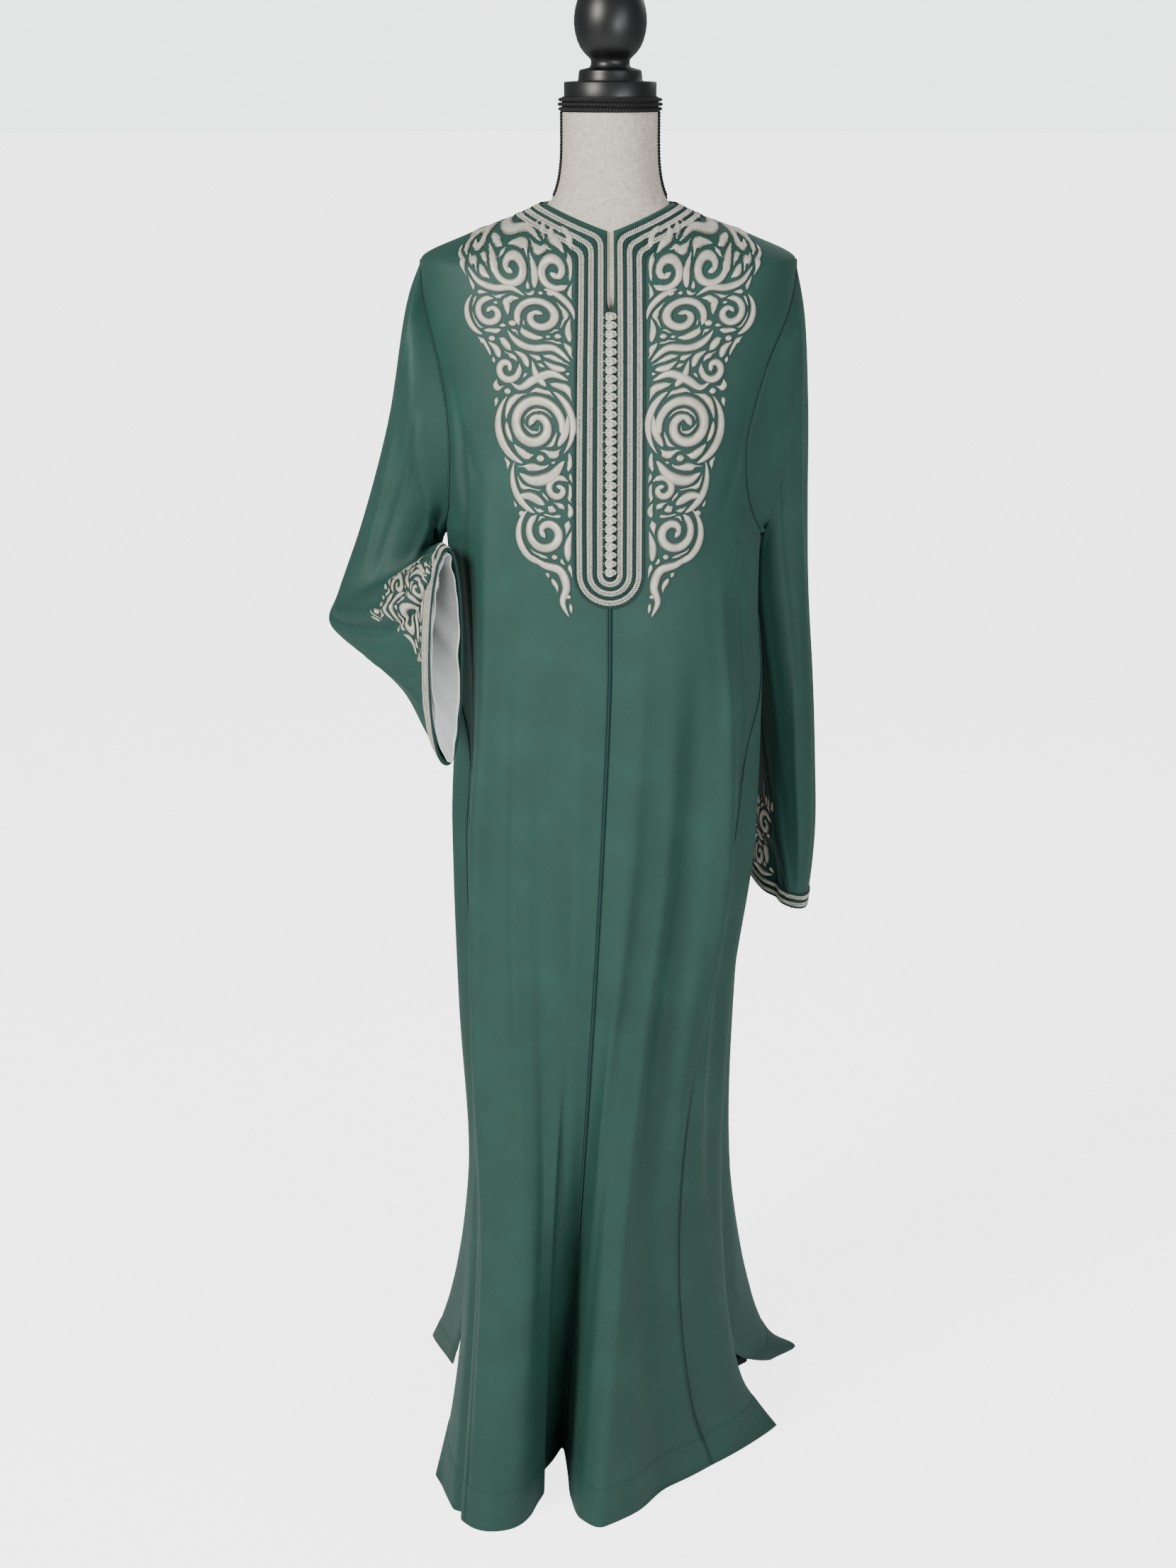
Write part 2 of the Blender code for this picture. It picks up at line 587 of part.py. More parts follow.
def band_route(offset):
    """Turns and heights of a braid's middle line on the right half, from the centre at its foot,
    up beside the slit, round the corner and round the neckline to the middle of the back."""
    route = []
    for angle in np.radians(np.linspace(0, 90, 6)):
        height = BRAID_TURN_HEIGHT - offset * math.cos(angle)
        route.append((turn_across(offset * math.sin(angle), height), height))
    corner_height = height_below_neck(offset + BRAID_CORNER, 4)
    for height in np.linspace(BRAID_TURN_HEIGHT, corner_height, 13)[1:]:
        route.append((turn_across(offset, height), height))
    for angle in np.radians((45, 90)):
        across = offset + BRAID_CORNER * (1 - math.cos(angle))
        height = height_below_neck(offset + BRAID_CORNER * (1 - math.sin(angle)), 8)
        route.append((turn_across(across, height), height))
    first = route[-1][0]
    for turn in np.linspace(first, 180, 17)[1:]:
        route.append((float(turn), height_below_neck(offset, turn, turn > 90)))
    return route


def surface(turn, height):
    """A point and its normal for a turn of -180 to 180."""
    rear = abs(turn) > 90
    turn = turn + 360 if turn < -90 else turn
    place = (np.array(turn, float), np.array(height, float), rear)
    return body(*place), body_normal(*place)


def build_neck_braids(silver):
    """Three closed braids, each down both sides of the slit and round the neck."""
    for place, offset in BRAID_OFFSETS.items():
        right = band_route(offset)
        left = [(-turn, height) for turn, height in right[1:-1]]
        found = [surface(*step) for step in right + left[::-1]]
        points = np.array([point for point, _ in found])
        normals = np.array([normal for _, normal in found])
        along = np.roll(points, -1, axis=0) - np.roll(points, 1, axis=0)
        across = unit(np.cross(normals, along)) * BRAID_WIDTH / 2
        base = [points + side * across + normals * BRAID_LIFT for side in (-1, 1)]
        top = [edge + normals * BRAID_THICKNESS for edge in base]
        add_loop(f"neck_braid_{place}", base, top, silver)


def build_buttons(silver):
    """Knotted buttons down the centre, seated just off the cloth."""
    mesh = bpy.data.meshes.new("button")
    work = bmesh.new()
    bmesh.ops.create_uvsphere(work, u_segments=6, v_segments=4, radius=0.5)
    bmesh.ops.scale(work, vec=BUTTON_SIZE, verts=work.verts)
    work.to_mesh(mesh)
    work.free()
    mesh.materials.append(silver)
    mesh.shade_smooth()
    heights, lengths = lengths_below_neck(0.0)
    ends = np.interp([-BUTTON_TOP, -BUTTON_FOOT], -heights, lengths)
    # The buttons follow the fronts' own flats from row to row.
    rows = np.array(UPPER_ROWS + ARM_ROWS + LOWER_ROWS)
    centre = body(np.zeros(len(rows)), rows)
    for index, length in enumerate(np.linspace(*ends, BUTTONS)):
        height = float(np.interp(length, lengths, heights))
        point = np.array([np.interp(-height, -rows, centre[:, axis]) for axis in range(3)])
        normal = surface(0.0, height)[1]
        obj = bpy.data.objects.new(f"button_{index + 1:02d}", mesh)
        obj.location = point + normal * (LIFT + BUTTON_SIZE[1] / 2)
        obj.rotation_euler = (math.atan2(-normal[2], -normal[1]), 0, 0)
        bpy.data.collections["kaftan_on_dress_form"].objects.link(obj)


def build_form(linen, gimp):
    """The linen torso, closed below, and the gimp round the top of its neck."""
    turns = np.arange(28) * 360 / 28
    signed = np.where(turns > 270, turns - 360, turns)
    rear = (signed > 90) & (signed < 270)
    rings = []
    Neck = namedtuple("Neck", "height radius drop")
    neck = (Neck(1.497, 0.0478, 0.0), Neck(1.470, 0.0478, 0.0), Neck(1.448, 0.0485, 0.1),
            Neck(1.430, 0.0510, 0.4), Neck(1.416, 0.0555, 0.8))
    for row in neck:
        side = np.sin(np.radians(turns))
        lowered = NECK_DROP[0].front * row.drop * (1 - np.abs(side)) * (np.cos(np.radians(turns)) > 0)
        rings.append(np.stack([row.radius * side, -row.radius * np.cos(np.radians(turns)),
                               row.height - lowered], axis=-1))
    for height in UPPER_ROWS + (1.352, 1.335, 1.310, 1.250, 1.190, 1.100, 1.000, 0.880, 0.760):
        level = np.full(len(turns), height)
        cloth = np.where(rear[:, None], body(signed, level, True), body(signed, level))
        normal = np.where(rear[:, None], body_normal(signed, level, True), body_normal(signed, level))
        under = cloth - normal * (WALL + UNDER_CLOTH)
        plain = plain_ring(FORM, signed, level)
        rings.append(under + (plain - under) * ease((1.366 - height) / 0.05))
    rings = np.array(rings)
    rings[-1][:, 2] = FORM_FOOT
    count = len(turns)
    faces = [[row * count + column, row * count + (column + 1) % count,
              (row + 1) * count + (column + 1) % count, (row + 1) * count + column]
             for row in range(len(rings) - 1) for column in range(count)]
    faces.append(list(range(count)))
    faces.append([(len(rings) - 1) * count + column for column in range(count)])
    add_object("form_torso", rings.reshape(-1, 3), faces, linen)
    turned("form_neck_trim", ((0.030, NECK_TOP + GAP), (0.0475, NECK_TOP + GAP), (0.0500, 1.5005),
                              (0.0490, 1.5045), (0.0500, 1.5085), (0.0475, TRIM_TOP),
                              (0.030, TRIM_TOP)), gimp, steps=24)


def turned(name, profile, material, steps=20):
    """A turned shape from radii and heights, closed where the profile ends."""
    curve = [(radius, 0, height) for radius, height in reversed(profile)]
    mesh = bpy.data.meshes.new(name)
    edges = [(index, index + 1) for index in range(len(curve) - 1)]
    if profile[0][0] > 0:
        edges.append((len(curve) - 1, 0))
    mesh.from_pydata(curve, edges, [])
    obj = bpy.data.objects.new(name, mesh)
    screw = obj.modifiers.new("turn", "SCREW")
    screw.steps = screw.render_steps = steps
    screw.use_merge_vertices = True
    screw.merge_threshold = 0.0001
    finish(obj, material)
    return obj


def build_stand(wood):
    """The turned finial and cap, the post, the hub and three bent legs."""
    turned("form_finial", (
        (0.0, TRIM_TOP + GAP), (0.0465, TRIM_TOP + GAP), (0.0465, 1.5260), (0.0320, 1.5280),
        (0.0310, 1.5370), (0.0200, 1.5410), (0.0195, 1.5470), (0.0260, 1.5530), (0.0330, 1.5650),
        (0.0365, 1.5800), (0.0360, 1.5940), (0.0310, 1.6090), (0.0220, 1.6190), (0.0110, 1.6240),
        (0.0, 1.6250),
    ), wood)
    turned("stand_post", ((0.0, HUB_TOP + GAP), (POST_RADIUS, HUB_TOP + GAP),
                          (POST_RADIUS, FORM_FOOT - GAP), (0.0, FORM_FOOT - GAP)), wood, steps=12)
    turned("stand_hub", ((0.0, HUB_FOOT), (0.018, HUB_FOOT), (0.027, 0.125), (0.027, 0.165),
                         (0.018, HUB_TOP), (0.0, HUB_TOP)), wood, steps=16)
    for name, leg in LEGS.items():
        build_leg(f"stand_leg_{name}", leg, wood)


def build_leg(name, leg, wood):
    """A leg that bows out of the hub and down to a flat foot on the floor."""
    start = 0.027 + GAP
    way = np.array([math.cos(math.radians(leg.direction)), math.sin(math.radians(leg.direction))])
    reach = np.linspace(start, leg.reach, 9)
    share = (reach - start) / (leg.reach - start)
    height = FOOT_HEIGHT + (LEG_ROOT - FOOT_HEIGHT) * (1 - share) ** LEG_BOW
    curve = bpy.data.curves.new(name, "CURVE")
    curve.dimensions = "3D"
    curve.bevel_depth = LEG_RADIUS
    curve.bevel_resolution = 2
    curve.use_fill_caps = True
    spline = curve.splines.new("POLY")
    spline.points.add(len(reach) - 1)
    for point, out, level in zip(spline.points, reach, height):
        point.co = (*(way * out), level, 1)
    guide = bpy.data.objects.new(name + "_guide", curve)
    bpy.context.scene.collection.objects.link(guide)
    mesh = bpy.data.meshes.new_from_object(guide.evaluated_get(bpy.context.evaluated_depsgraph_get()))
    bpy.data.objects.remove(guide)
    work = bmesh.new()
    work.from_mesh(mesh)
    bmesh.ops.remove_doubles(work, verts=work.verts, dist=0.00001)
    for vertex in work.verts:
        out = math.hypot(vertex.co.x, vertex.co.y)
        if out < start + LEG_RADIUS:
            place = np.array(vertex.co.xy)
            vertex.co.x, vertex.co.y = way * start + place - way * way.dot(place)
        vertex.co.z = max(vertex.co.z, 0.0)
    work.to_mesh(mesh)
    work.free()
    mesh.name = name
    obj = bpy.data.objects.new(name, mesh)
    finish(obj, wood)


def stand_on_origin():
    """Hangs every piece on an empty that brings the middle of the part's box over the origin."""
    bpy.context.view_layer.update()
    graph = bpy.context.evaluated_depsgraph_get()
    pieces = list(bpy.data.collections["kaftan_on_dress_form"].objects)
    corners = [piece.matrix_world @ Vector(corner) for piece in pieces
               for corner in piece.evaluated_get(graph).bound_box]
    low = [min(corner[axis] for corner in corners) for axis in range(2)]
    high = [max(corner[axis] for corner in corners) for axis in range(2)]
    stand = bpy.data.objects.new("post_axis", None)
    stand.location = (-(low[0] + high[0]) / 2, -(low[1] + high[1]) / 2, 0)
    bpy.data.collections["kaftan_on_dress_form"].objects.link(stand)
    for piece in pieces:
        piece.parent = stand


def new_material(name, values):
    material = bpy.data.materials.new(name)
    material.use_nodes = True
    shader = material.node_tree.nodes["Principled BSDF"]
    shader.inputs["Base Color"].default_value = (*values.color, 1)
    shader.inputs["Roughness"].default_value = values.roughness
    shader.inputs["Metallic"].default_value = values.metallic
    material.diffuse_color = (*values.color, 1)
    return material


def main():
    for obj in list(bpy.data.objects):
        bpy.data.objects.remove(obj)
    collection = bpy.data.collections.new("kaftan_on_dress_form")
    bpy.context.scene.collection.children.link(collection)
    crepe = new_material("sea_green_crepe", CREPE)
    satin = new_material("white_satin", SATIN)
    silver = new_material("silver_thread", SILVER_THREAD)
    linen = new_material("linen", LINEN)
    gimp = new_material("black_gimp", GIMP)
    wood = new_material("black_wood", BLACK_WOOD)
    build_body(crepe)
    build_sleeves(crepe, satin, silver)
    build_neck_braids(silver)
    build_buttons(silver)
    build_form(linen, gimp)
    build_stand(wood)
    stand_on_origin()


main()
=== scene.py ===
"""A long kaftan of sea green crepe on a limbless dress form, dressed over its solid model.

Metres, +Z up. The front faces -Y, and left and right are as seen from the front.
"""

import math
from collections import namedtuple

import bmesh
import bpy
import numpy as np
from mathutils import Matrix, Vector


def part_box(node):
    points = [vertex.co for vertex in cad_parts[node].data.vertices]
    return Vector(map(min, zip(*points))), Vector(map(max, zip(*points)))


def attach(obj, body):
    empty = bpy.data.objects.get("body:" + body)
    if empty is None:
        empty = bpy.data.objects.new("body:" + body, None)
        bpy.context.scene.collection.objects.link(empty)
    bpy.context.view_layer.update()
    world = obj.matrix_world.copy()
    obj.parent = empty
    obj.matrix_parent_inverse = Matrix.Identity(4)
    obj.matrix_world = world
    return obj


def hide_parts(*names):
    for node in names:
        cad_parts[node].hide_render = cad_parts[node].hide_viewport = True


bl_info = {
    "name": "Kaftan on a Dress Form",
    "version": (1, 0, 0),
    "blender": (4, 5, 0),
    "location": "View3D > Sidebar > Kaftan",
    "description": "Sews, embroiders and lights a long crepe kaftan on a dress form",
    "category": "Add Mesh",
}

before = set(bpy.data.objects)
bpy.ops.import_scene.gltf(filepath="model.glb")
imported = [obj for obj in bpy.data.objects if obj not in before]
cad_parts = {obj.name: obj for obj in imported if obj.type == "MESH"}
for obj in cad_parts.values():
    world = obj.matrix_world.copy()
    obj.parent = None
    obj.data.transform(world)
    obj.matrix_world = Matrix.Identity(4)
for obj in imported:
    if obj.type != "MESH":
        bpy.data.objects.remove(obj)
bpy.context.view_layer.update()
POST_LOW, POST_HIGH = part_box("stand_post")
# The garment is drafted round the stand's post.
POST = np.array([(POST_LOW[0] + POST_HIGH[0]) / 2, (POST_LOW[1] + POST_HIGH[1]) / 2, 0.0])

MM = 0.001
WALL = 1.8 * MM
GAP = 0.3 * MM
SEAM_GAP = 0.4 * MM
ROUNDNESS = 0.92
NECKLINE = 1.409
GORE_TOP = 0.980
HEM = 0.0
SLIT_FOOT = 1.322
SLIT_HALF_WIDTH = 3.5 * MM

# The trim of the front opening.
BRAID_WIDTH = 6.0 * MM
BRAID_OFFSETS = {"inner": 9.7 * MM, "middle": 19.2 * MM, "outer": 28.7 * MM}
BRAID_TURN_HEIGHT = 1.053
BRAID_CORNER = 9.0 * MM
BUTTONS = 30
BUTTON_TOP = 1.318
BUTTON_FOOT = 1.056

# The dress form and its stand.
NECK_TOP = 1.497
TRIM_TOP = 1.512
FORM_FOOT = 0.760
POST_RADIUS = 0.015
HUB_TOP = 0.175
HUB_FOOT = 0.115
LEG_RADIUS = 0.011
LEG_ROOT = 0.145
FOOT_HEIGHT = 0.006
LEG_BOW = 2.2

Section = namedtuple("Section", "height left right front back")
# Half-widths to each side of the post and depths before and behind it, round the garment.
TRUNK = (
    Section(1.409, 0.0660, 0.0630, 0.0590, 0.0570),
    Section(1.395, 0.0960, 0.0930, 0.0690, 0.0660),
    Section(1.377, 0.1460, 0.1440, 0.0820, 0.0790),
    Section(1.352, 0.1930, 0.1900, 0.0950, 0.0900),
    Section(1.310, 0.1920, 0.1880, 0.1090, 0.0980),
    Section(1.250, 0.1850, 0.1770, 0.1230, 0.1040),
    Section(1.190, 0.1790, 0.1680, 0.1340, 0.1050),
    Section(1.100, 0.1730, 0.1600, 0.1400, 0.1010),
    Section(1.000, 0.1670, 0.1580, 0.1430, 0.1000),
    Section(0.900, 0.1650, 0.1640, 0.1470, 0.1100),
    Section(0.750, 0.1710, 0.1610, 0.1530, 0.1260),
    Section(0.550, 0.1660, 0.1370, 0.1640, 0.1500),
    Section(0.350, 0.1560, 0.1270, 0.1770, 0.1760),
    Section(0.000, 0.1740, 0.1480, 0.2000, 0.2150),
)
# The same of the linen form, which the shoulders of the garment lie on.
FORM = (
    Section(1.352, 0.1860, 0.1840, 0.0880, 0.0820),
    Section(1.310, 0.1680, 0.1640, 0.0980, 0.0840),
    Section(1.250, 0.1560, 0.1500, 0.1100, 0.0840),
    Section(1.190, 0.1500, 0.1440, 0.1200, 0.0820),
    Section(1.100, 0.1380, 0.1340, 0.1120, 0.0780),
    Section(1.000, 0.1220, 0.1200, 0.0920, 0.0720),
    Section(0.880, 0.1440, 0.1420, 0.1000, 0.0860),
    Section(0.760, 0.1480, 0.1460, 0.1020, 0.0960),
)

Drop = namedtuple("Drop", "height front")
# How much lower the neckline and the rings near it lie at the front than at the shoulders.
NECK_DROP = (Drop(NECKLINE, 0.026), Drop(1.352, 0.024), Drop(1.300, 0.008), Drop(1.265, 0.0))

Hem = namedtuple("Hem", "turn x y start")
# Where the hem stands on the floor, by the turn round the post, and the height that its folds reach.
HEM_FRONT = (
    Hem(-90, -0.196, -0.103, 0.11),
    Hem(-82, -0.186, -0.130, 0.26),
    Hem(-70, -0.173, -0.170, 0.46),
    Hem(-58, -0.158, -0.198, 0.62),
    Hem(-46, -0.138, -0.213, 0.70),
    Hem(-34, -0.107, -0.210, 0.72),
    Hem(-24, -0.078, -0.187, 0.72),
    Hem(-16, -0.064, -0.148, 0.70),
    Hem(-8, -0.060, -0.100, 0.70),
    Hem(0, -0.052, -0.048, 0.70),
    Hem(8, -0.045, -0.100, 0.70),
    Hem(16, -0.041, -0.150, 0.70),
    Hem(24, -0.030, -0.190, 0.70),
    Hem(34, -0.004, -0.205, 0.70),
    Hem(45, 0.034, -0.176, 0.66),
    Hem(56, 0.076, -0.130, 0.60),
    Hem(68, 0.124, -0.080, 0.44),
    Hem(80, 0.166, -0.040, 0.22),
    Hem(90, 0.201, 0.001, 0.11),
)
HEM_BACK = (
    Hem(90, 0.204, 0.150, 0.12),
    Hem(96, 0.238, 0.184, 0.12),
    Hem(103, 0.216, 0.208, 0.18),
    Hem(112, 0.176, 0.226, 0.50),
    Hem(122, 0.138, 0.206, 0.62),
    Hem(132, 0.112, 0.176, 0.70),
    Hem(142, 0.094, 0.214, 0.76),
    Hem(154, 0.060, 0.252, 0.80),
    Hem(165, 0.024, 0.240, 0.80),
    Hem(173, 0.006, 0.196, 0.84),
    Hem(180, -0.008, 0.166, 0.84),
    Hem(187, -0.020, 0.198, 0.84),
    Hem(196, -0.040, 0.244, 0.80),
    Hem(208, -0.078, 0.254, 0.76),
    Hem(220, -0.108, 0.222, 0.72),
    Hem(229, -0.122, 0.178, 0.66),
    Hem(240, -0.150, 0.212, 0.58),
    Hem(250, -0.176, 0.232, 0.48),
    Hem(257, -0.203, 0.228, 0.36),
    Hem(264, -0.219, 0.212, 0.26),
    Hem(270, -0.190, 0.140, 0.20),
)
# How steeply the hem's places take over from the rings, sideways and in depth.
LEAN_START = 0.95
LEAN_POWER = 1.2
FOLD_POWER = 1.5

Fold = namedtuple("Fold", "top foot top_turn foot_turn half_width depth")
# Long soft folds: a ridge stands out of the rings and a trough, with a depth below 0, goes in.
FOLDS = (
    Fold(1.16, 0.28, -47, -50, 13, 0.009),
    Fold(1.12, 0.34, -68, -72, 12, -0.012),
    Fold(0.92, 0.24, 48, 50, 12, 0.009),
    Fold(0.96, 0.30, 68, 72, 12, -0.012),
    Fold(1.20, 0.22, 150, 148, 14, -0.010),
    Fold(1.20, 0.22, 206, 210, 14, -0.010),
    Fold(1.28, 0.36, 122, 126, 14, 0.008),
    Fold(1.28, 0.36, 238, 236, 14, 0.008),
)

Seam = namedtuple("Seam", "height turn")
# Seams by height, as turns round the post: the armhole above the armpit, the gore seam below it.
SIDE_LEFT_FRONT = (
    Seam(1.409, -90), Seam(1.352, -90), Seam(1.318, -81), Seam(1.290, -74), Seam(1.255, -69),
    Seam(1.215, -66), Seam(1.175, -66), Seam(1.135, -69), Seam(1.100, -75), Seam(1.080, -83),
    Seam(1.070, -90), Seam(0.986, -90), Seam(0.980, -89), Seam(0.900, -77), Seam(0.830, -68),
    Seam(0.730, -60), Seam(0.500, -56), Seam(0.260, -57), Seam(0.000, -58),
)
SIDE_RIGHT_FRONT = (
    Seam(1.409, 90), Seam(1.352, 90), Seam(1.318, 80), Seam(1.290, 71), Seam(1.255, 63),
    Seam(1.215, 58), Seam(1.175, 55), Seam(1.135, 58), Seam(1.100, 66), Seam(1.080, 78),
    Seam(1.070, 90), Seam(0.986, 90), Seam(0.980, 89), Seam(0.900, 77), Seam(0.830, 66),
    Seam(0.730, 57), Seam(0.500, 54), Seam(0.260, 57), Seam(0.100, 61), Seam(0.000, 67),
)
SIDE_RIGHT_BACK = (
    Seam(1.409, 90), Seam(1.352, 90), Seam(1.318, 100), Seam(1.290, 107), Seam(1.255, 113),
    Seam(1.215, 117), Seam(1.175, 118), Seam(1.135, 115), Seam(1.100, 107), Seam(1.080, 98),
    Seam(1.070, 90), Seam(0.986, 90), Seam(0.980, 91), Seam(0.830, 110), Seam(0.600, 121),
    Seam(0.000, 124),
)
SIDE_LEFT_BACK = tuple(Seam(row.height, 360 - row.turn) for row in SIDE_RIGHT_BACK)

ARM_ROWS = (1.352, 1.338, 1.318, 1.290, 1.255, 1.215, 1.175, 1.135, 1.100, 1.080, 1.070)

Ring = namedtuple("Ring", "outer inner front back")
# Sleeve rings after the armhole: the outer and the inner fold, then how far the middle of the
# front and of the back layer lies from the line between them, across and along the depth.
LEFT_SLEEVE = (
    Ring((-0.206, 0.004, 1.318), (-0.177, 0.010, 1.064), (0.0, -0.070), (0.0, 0.072)),
    Ring((-0.232, 0.008, 1.182), (-0.177, 0.018, 1.058), (0.0, -0.052), (0.0, 0.062)),
    Ring((-0.262, 0.008, 1.078), (-0.177, 0.010, 1.055), (0.0, -0.040), (0.0, 0.055)),
    Ring((-0.288, 0.004, 1.006), (-0.176, -0.014, 1.056), (0.002, -0.036), (0.0, 0.050)),
    Ring((-0.296, -0.014, 0.976), (-0.174, -0.062, 1.068), (-0.004, -0.030), (0.004, 0.048)),
    Ring((-0.252, -0.046, 0.945), (-0.173, -0.088, 1.074), (-0.006, -0.034), (0.006, 0.040)),
    Ring((-0.211, -0.076, 0.913), (-0.171, -0.101, 1.077), (-0.008, -0.030), (0.008, 0.030)),
    Ring((-0.187, -0.096, 0.876), (-0.168, -0.110, 1.076), (-0.013, -0.026), (0.012, 0.022)),
    Ring((-0.167, -0.108, 0.845), (-0.163, -0.116, 1.074), (-0.019, -0.022), (0.014, 0.017)),
)
RIGHT_SLEEVE = (
    Ring((0.201, 0.010, 1.300), (0.168, 0.020, 1.063), (-0.004, -0.056), (0.0, 0.074)),
    Ring((0.209, 0.026, 1.205), (0.159, 0.046, 1.034), (-0.006, -0.056), (0.0, 0.078)),
    Ring((0.213, 0.046, 1.100), (0.156, 0.062, 0.985), (-0.004, -0.060), (0.0, 0.084)),
    Ring((0.217, 0.064, 1.000), (0.158, 0.074, 0.930), (0.002, -0.066), (-0.002, 0.090)),
    Ring((0.224, 0.076, 0.900), (0.162, 0.086, 0.868), (0.006, -0.074), (-0.004, 0.098)),
    Ring((0.229, 0.088, 0.800), (0.165, 0.096, 0.795), (0.008, -0.082), (-0.008, 0.106)),
    Ring((0.230, 0.097, 0.725), (0.166, 0.105, 0.722), (0.011, -0.087), (-0.012, 0.114)),
    Ring((0.227, 0.102, 0.680), (0.166, 0.110, 0.684), (0.012, -0.089), (-0.015, 0.118)),
    Ring((0.222, 0.106, 0.636), (0.166, 0.116, 0.648), (0.012, -0.090), (-0.018, 0.122)),
)
RING_POINTS = 20
SLEEVES = {"left": LEFT_SLEEVE, "right": RIGHT_SLEEVE}
SIDE_SEAMS = {"left": (SIDE_LEFT_FRONT, SIDE_LEFT_BACK),
              "right": (SIDE_RIGHT_FRONT, SIDE_RIGHT_BACK)}

Leg = namedtuple("Leg", "direction reach")
LEGS = {"rear_right": Leg(42, 0.226), "rear_left": Leg(157, 0.182), "front": Leg(272, 0.182)}

# Turns of 1 degree lie about this many millimetres apart on the skirt.
MM_PER_TURN = 2.9
SLEEVE_STEPS = 9
SLEEVE_ROUND = 5
LINING_FROM = 22
FRONT_FINE, GORE_FINE, BACK_FINE = 61, 25, 81
# The height at which the shoulders turn over.
SHOULDER = TRUNK[3].height

Crease = namedtuple("Crease", "turn height end_turn end_height bow width depth")
# Creases on the body: from where to where, how far they bow, and in millimetres how wide
# they are and how deep, with a depth below 0 for a trough.
BODY_CREASES = (
    # The front: long ridges and valleys that fall from the bust to the hem.
    Crease(-43, 1.16, -54, 0.02, 4, 11, 8.5),
    Crease(-59, 1.16, -60, 0.38, 3, 7, -8.0),
    Crease(-20, 1.04, -20, -0.70, 0, 24, -12.0),
    Crease(-9, 0.64, -9, -0.50, 0, 12, -14.0),
    Crease(-33, 0.98, -31, 0.30, 5, 8, 2.2),
    Crease(-26, 0.90, -25, 0.10, -4, 7, -2.6),
    Crease(-8, 0.98, -6, 0.20, 4, 9, 2.6),
    Crease(9, 1.02, 13, 0.40, 3, 14, 6.0),
    Crease(31, 0.98, 60, -0.20, 6, 18, -12.0),
    Crease(44, 1.06, 70, 0.16, 4, 11, 8.0),
    Crease(22, 0.94, 34, 0.08, -5, 9, 2.4),
    Crease(10, 0.74, 16, 0.10, 4, 8, 2.6),
    Crease(57, 1.08, 64, 0.60, -4, 7, -6.0),
    # The hollows beside the armpits.
    Crease(57, 1.21, 58, 1.09, 2, 5, -6.0),
    Crease(-58, 1.20, -57, 1.08, -2, 5, -5.0),
    # The gore that turns under at the left of the hem.
    Crease(-65, 0.42, -66, -0.40, 0, 7, -9.0),
    # The sides and the back.
    Crease(-80, 1.02, -86, 0.60, 5, 9, -2.6),
    Crease(-76, 0.66, -78, 0.16, -5, 12, 3.0),
    Crease(80, 0.94, 82, 0.44, 4, 10, -2.6),
    Crease(104, 1.02, 112, 0.52, 8, 12, 3.2),
    Crease(118, 1.16, 124, 0.70, -6, 12, -3.4),
    Crease(128, 0.86, 130, 0.22, 8, 13, 3.4),
    Crease(140, 1.26, 144, 0.90, 6, 10, 2.4),
    Crease(148, 0.98, 150, 0.30, -6, 13, -3.4),
    Crease(160, 1.08, 158, 0.44, 8, 12, 3.0),
    Crease(172, 0.84, 170, 0.16, -5, 12, -2.6),
    Crease(184, 1.20, 186, 0.78, 5, 10, 2.0),
    Crease(194, 0.92, 198, 0.20, 7, 13, 3.2),
    Crease(206, 1.14, 210, 0.60, -7, 12, -3.4),
    Crease(216, 0.78, 214, 0.14, 6, 12, 2.8),
    Crease(226, 1.22, 222, 0.82, -5, 10, -2.6),
    Crease(236, 0.96, 238, 0.34, 7, 12, 3.2),
    Crease(248, 0.74, 250, 0.18, -6, 11, -2.8),
    Crease(256, 1.04, 258, 0.62, 5, 10, 2.4),
    # The soft pulls from the armholes over the chest and the shoulder blades.
    Crease(-60, 1.24, -42, 1.12, 10, 7, -2.2),
    Crease(-64, 1.20, -50, 1.04, 8, 8, 2.4),
    Crease(54, 1.22, 40, 1.10, -10, 7, -2.0),
    Crease(58, 1.17, 48, 1.02, -8, 8, 2.2),
    Crease(112, 1.28, 130, 1.16, 8, 9, -2.4),
    Crease(248, 1.28, 232, 1.16, -8, 9, -2.4),
)
FoldLine = namedtuple("FoldLine", "along around end_along end_around bow width depth")
# Creases of the sleeves: shares of the length from the shoulder and of the way round from the outer
# fold over the front, with the bow, width and depth in millimetres.
LEFT_SLEEVE_CREASES = (
    FoldLine(0.02, 0.40, 0.42, 0.44, 0, 12, -9.0),
    FoldLine(0.06, 0.08, 0.42, 0.14, 8, 9, 3.0),
    FoldLine(0.04, 0.24, 0.46, 0.20, -6, 10, -3.4),
    FoldLine(0.10, 0.36, 0.50, 0.30, 6, 9, 3.0),
    FoldLine(0.49, 0.02, 0.94, 0.46, 0, 5, -8.0),
    FoldLine(0.44, 0.03, 0.90, 0.48, 0, 7, 4.5),
    FoldLine(0.60, 0.02, 0.98, 0.18, 4, 6, 3.0),
    FoldLine(0.52, 0.10, 0.74, 0.38, -6, 7, 3.2),
    FoldLine(0.58, 0.06, 0.84, 0.24, 6, 7, -3.0),
    FoldLine(0.70, 0.12, 0.96, 0.20, 4, 7, 2.4),
    FoldLine(0.76, 0.34, 0.98, 0.40, -4, 6, -2.2),
    FoldLine(0.08, 0.70, 0.48, 0.64, 8, 11, 3.0),
    FoldLine(0.12, 0.84, 0.52, 0.80, -8, 11, -3.2),
    FoldLine(0.50, 0.90, 0.78, 0.66, 6, 9, -3.0),
    FoldLine(0.66, 0.82, 0.94, 0.74, 5, 8, 2.4),
)
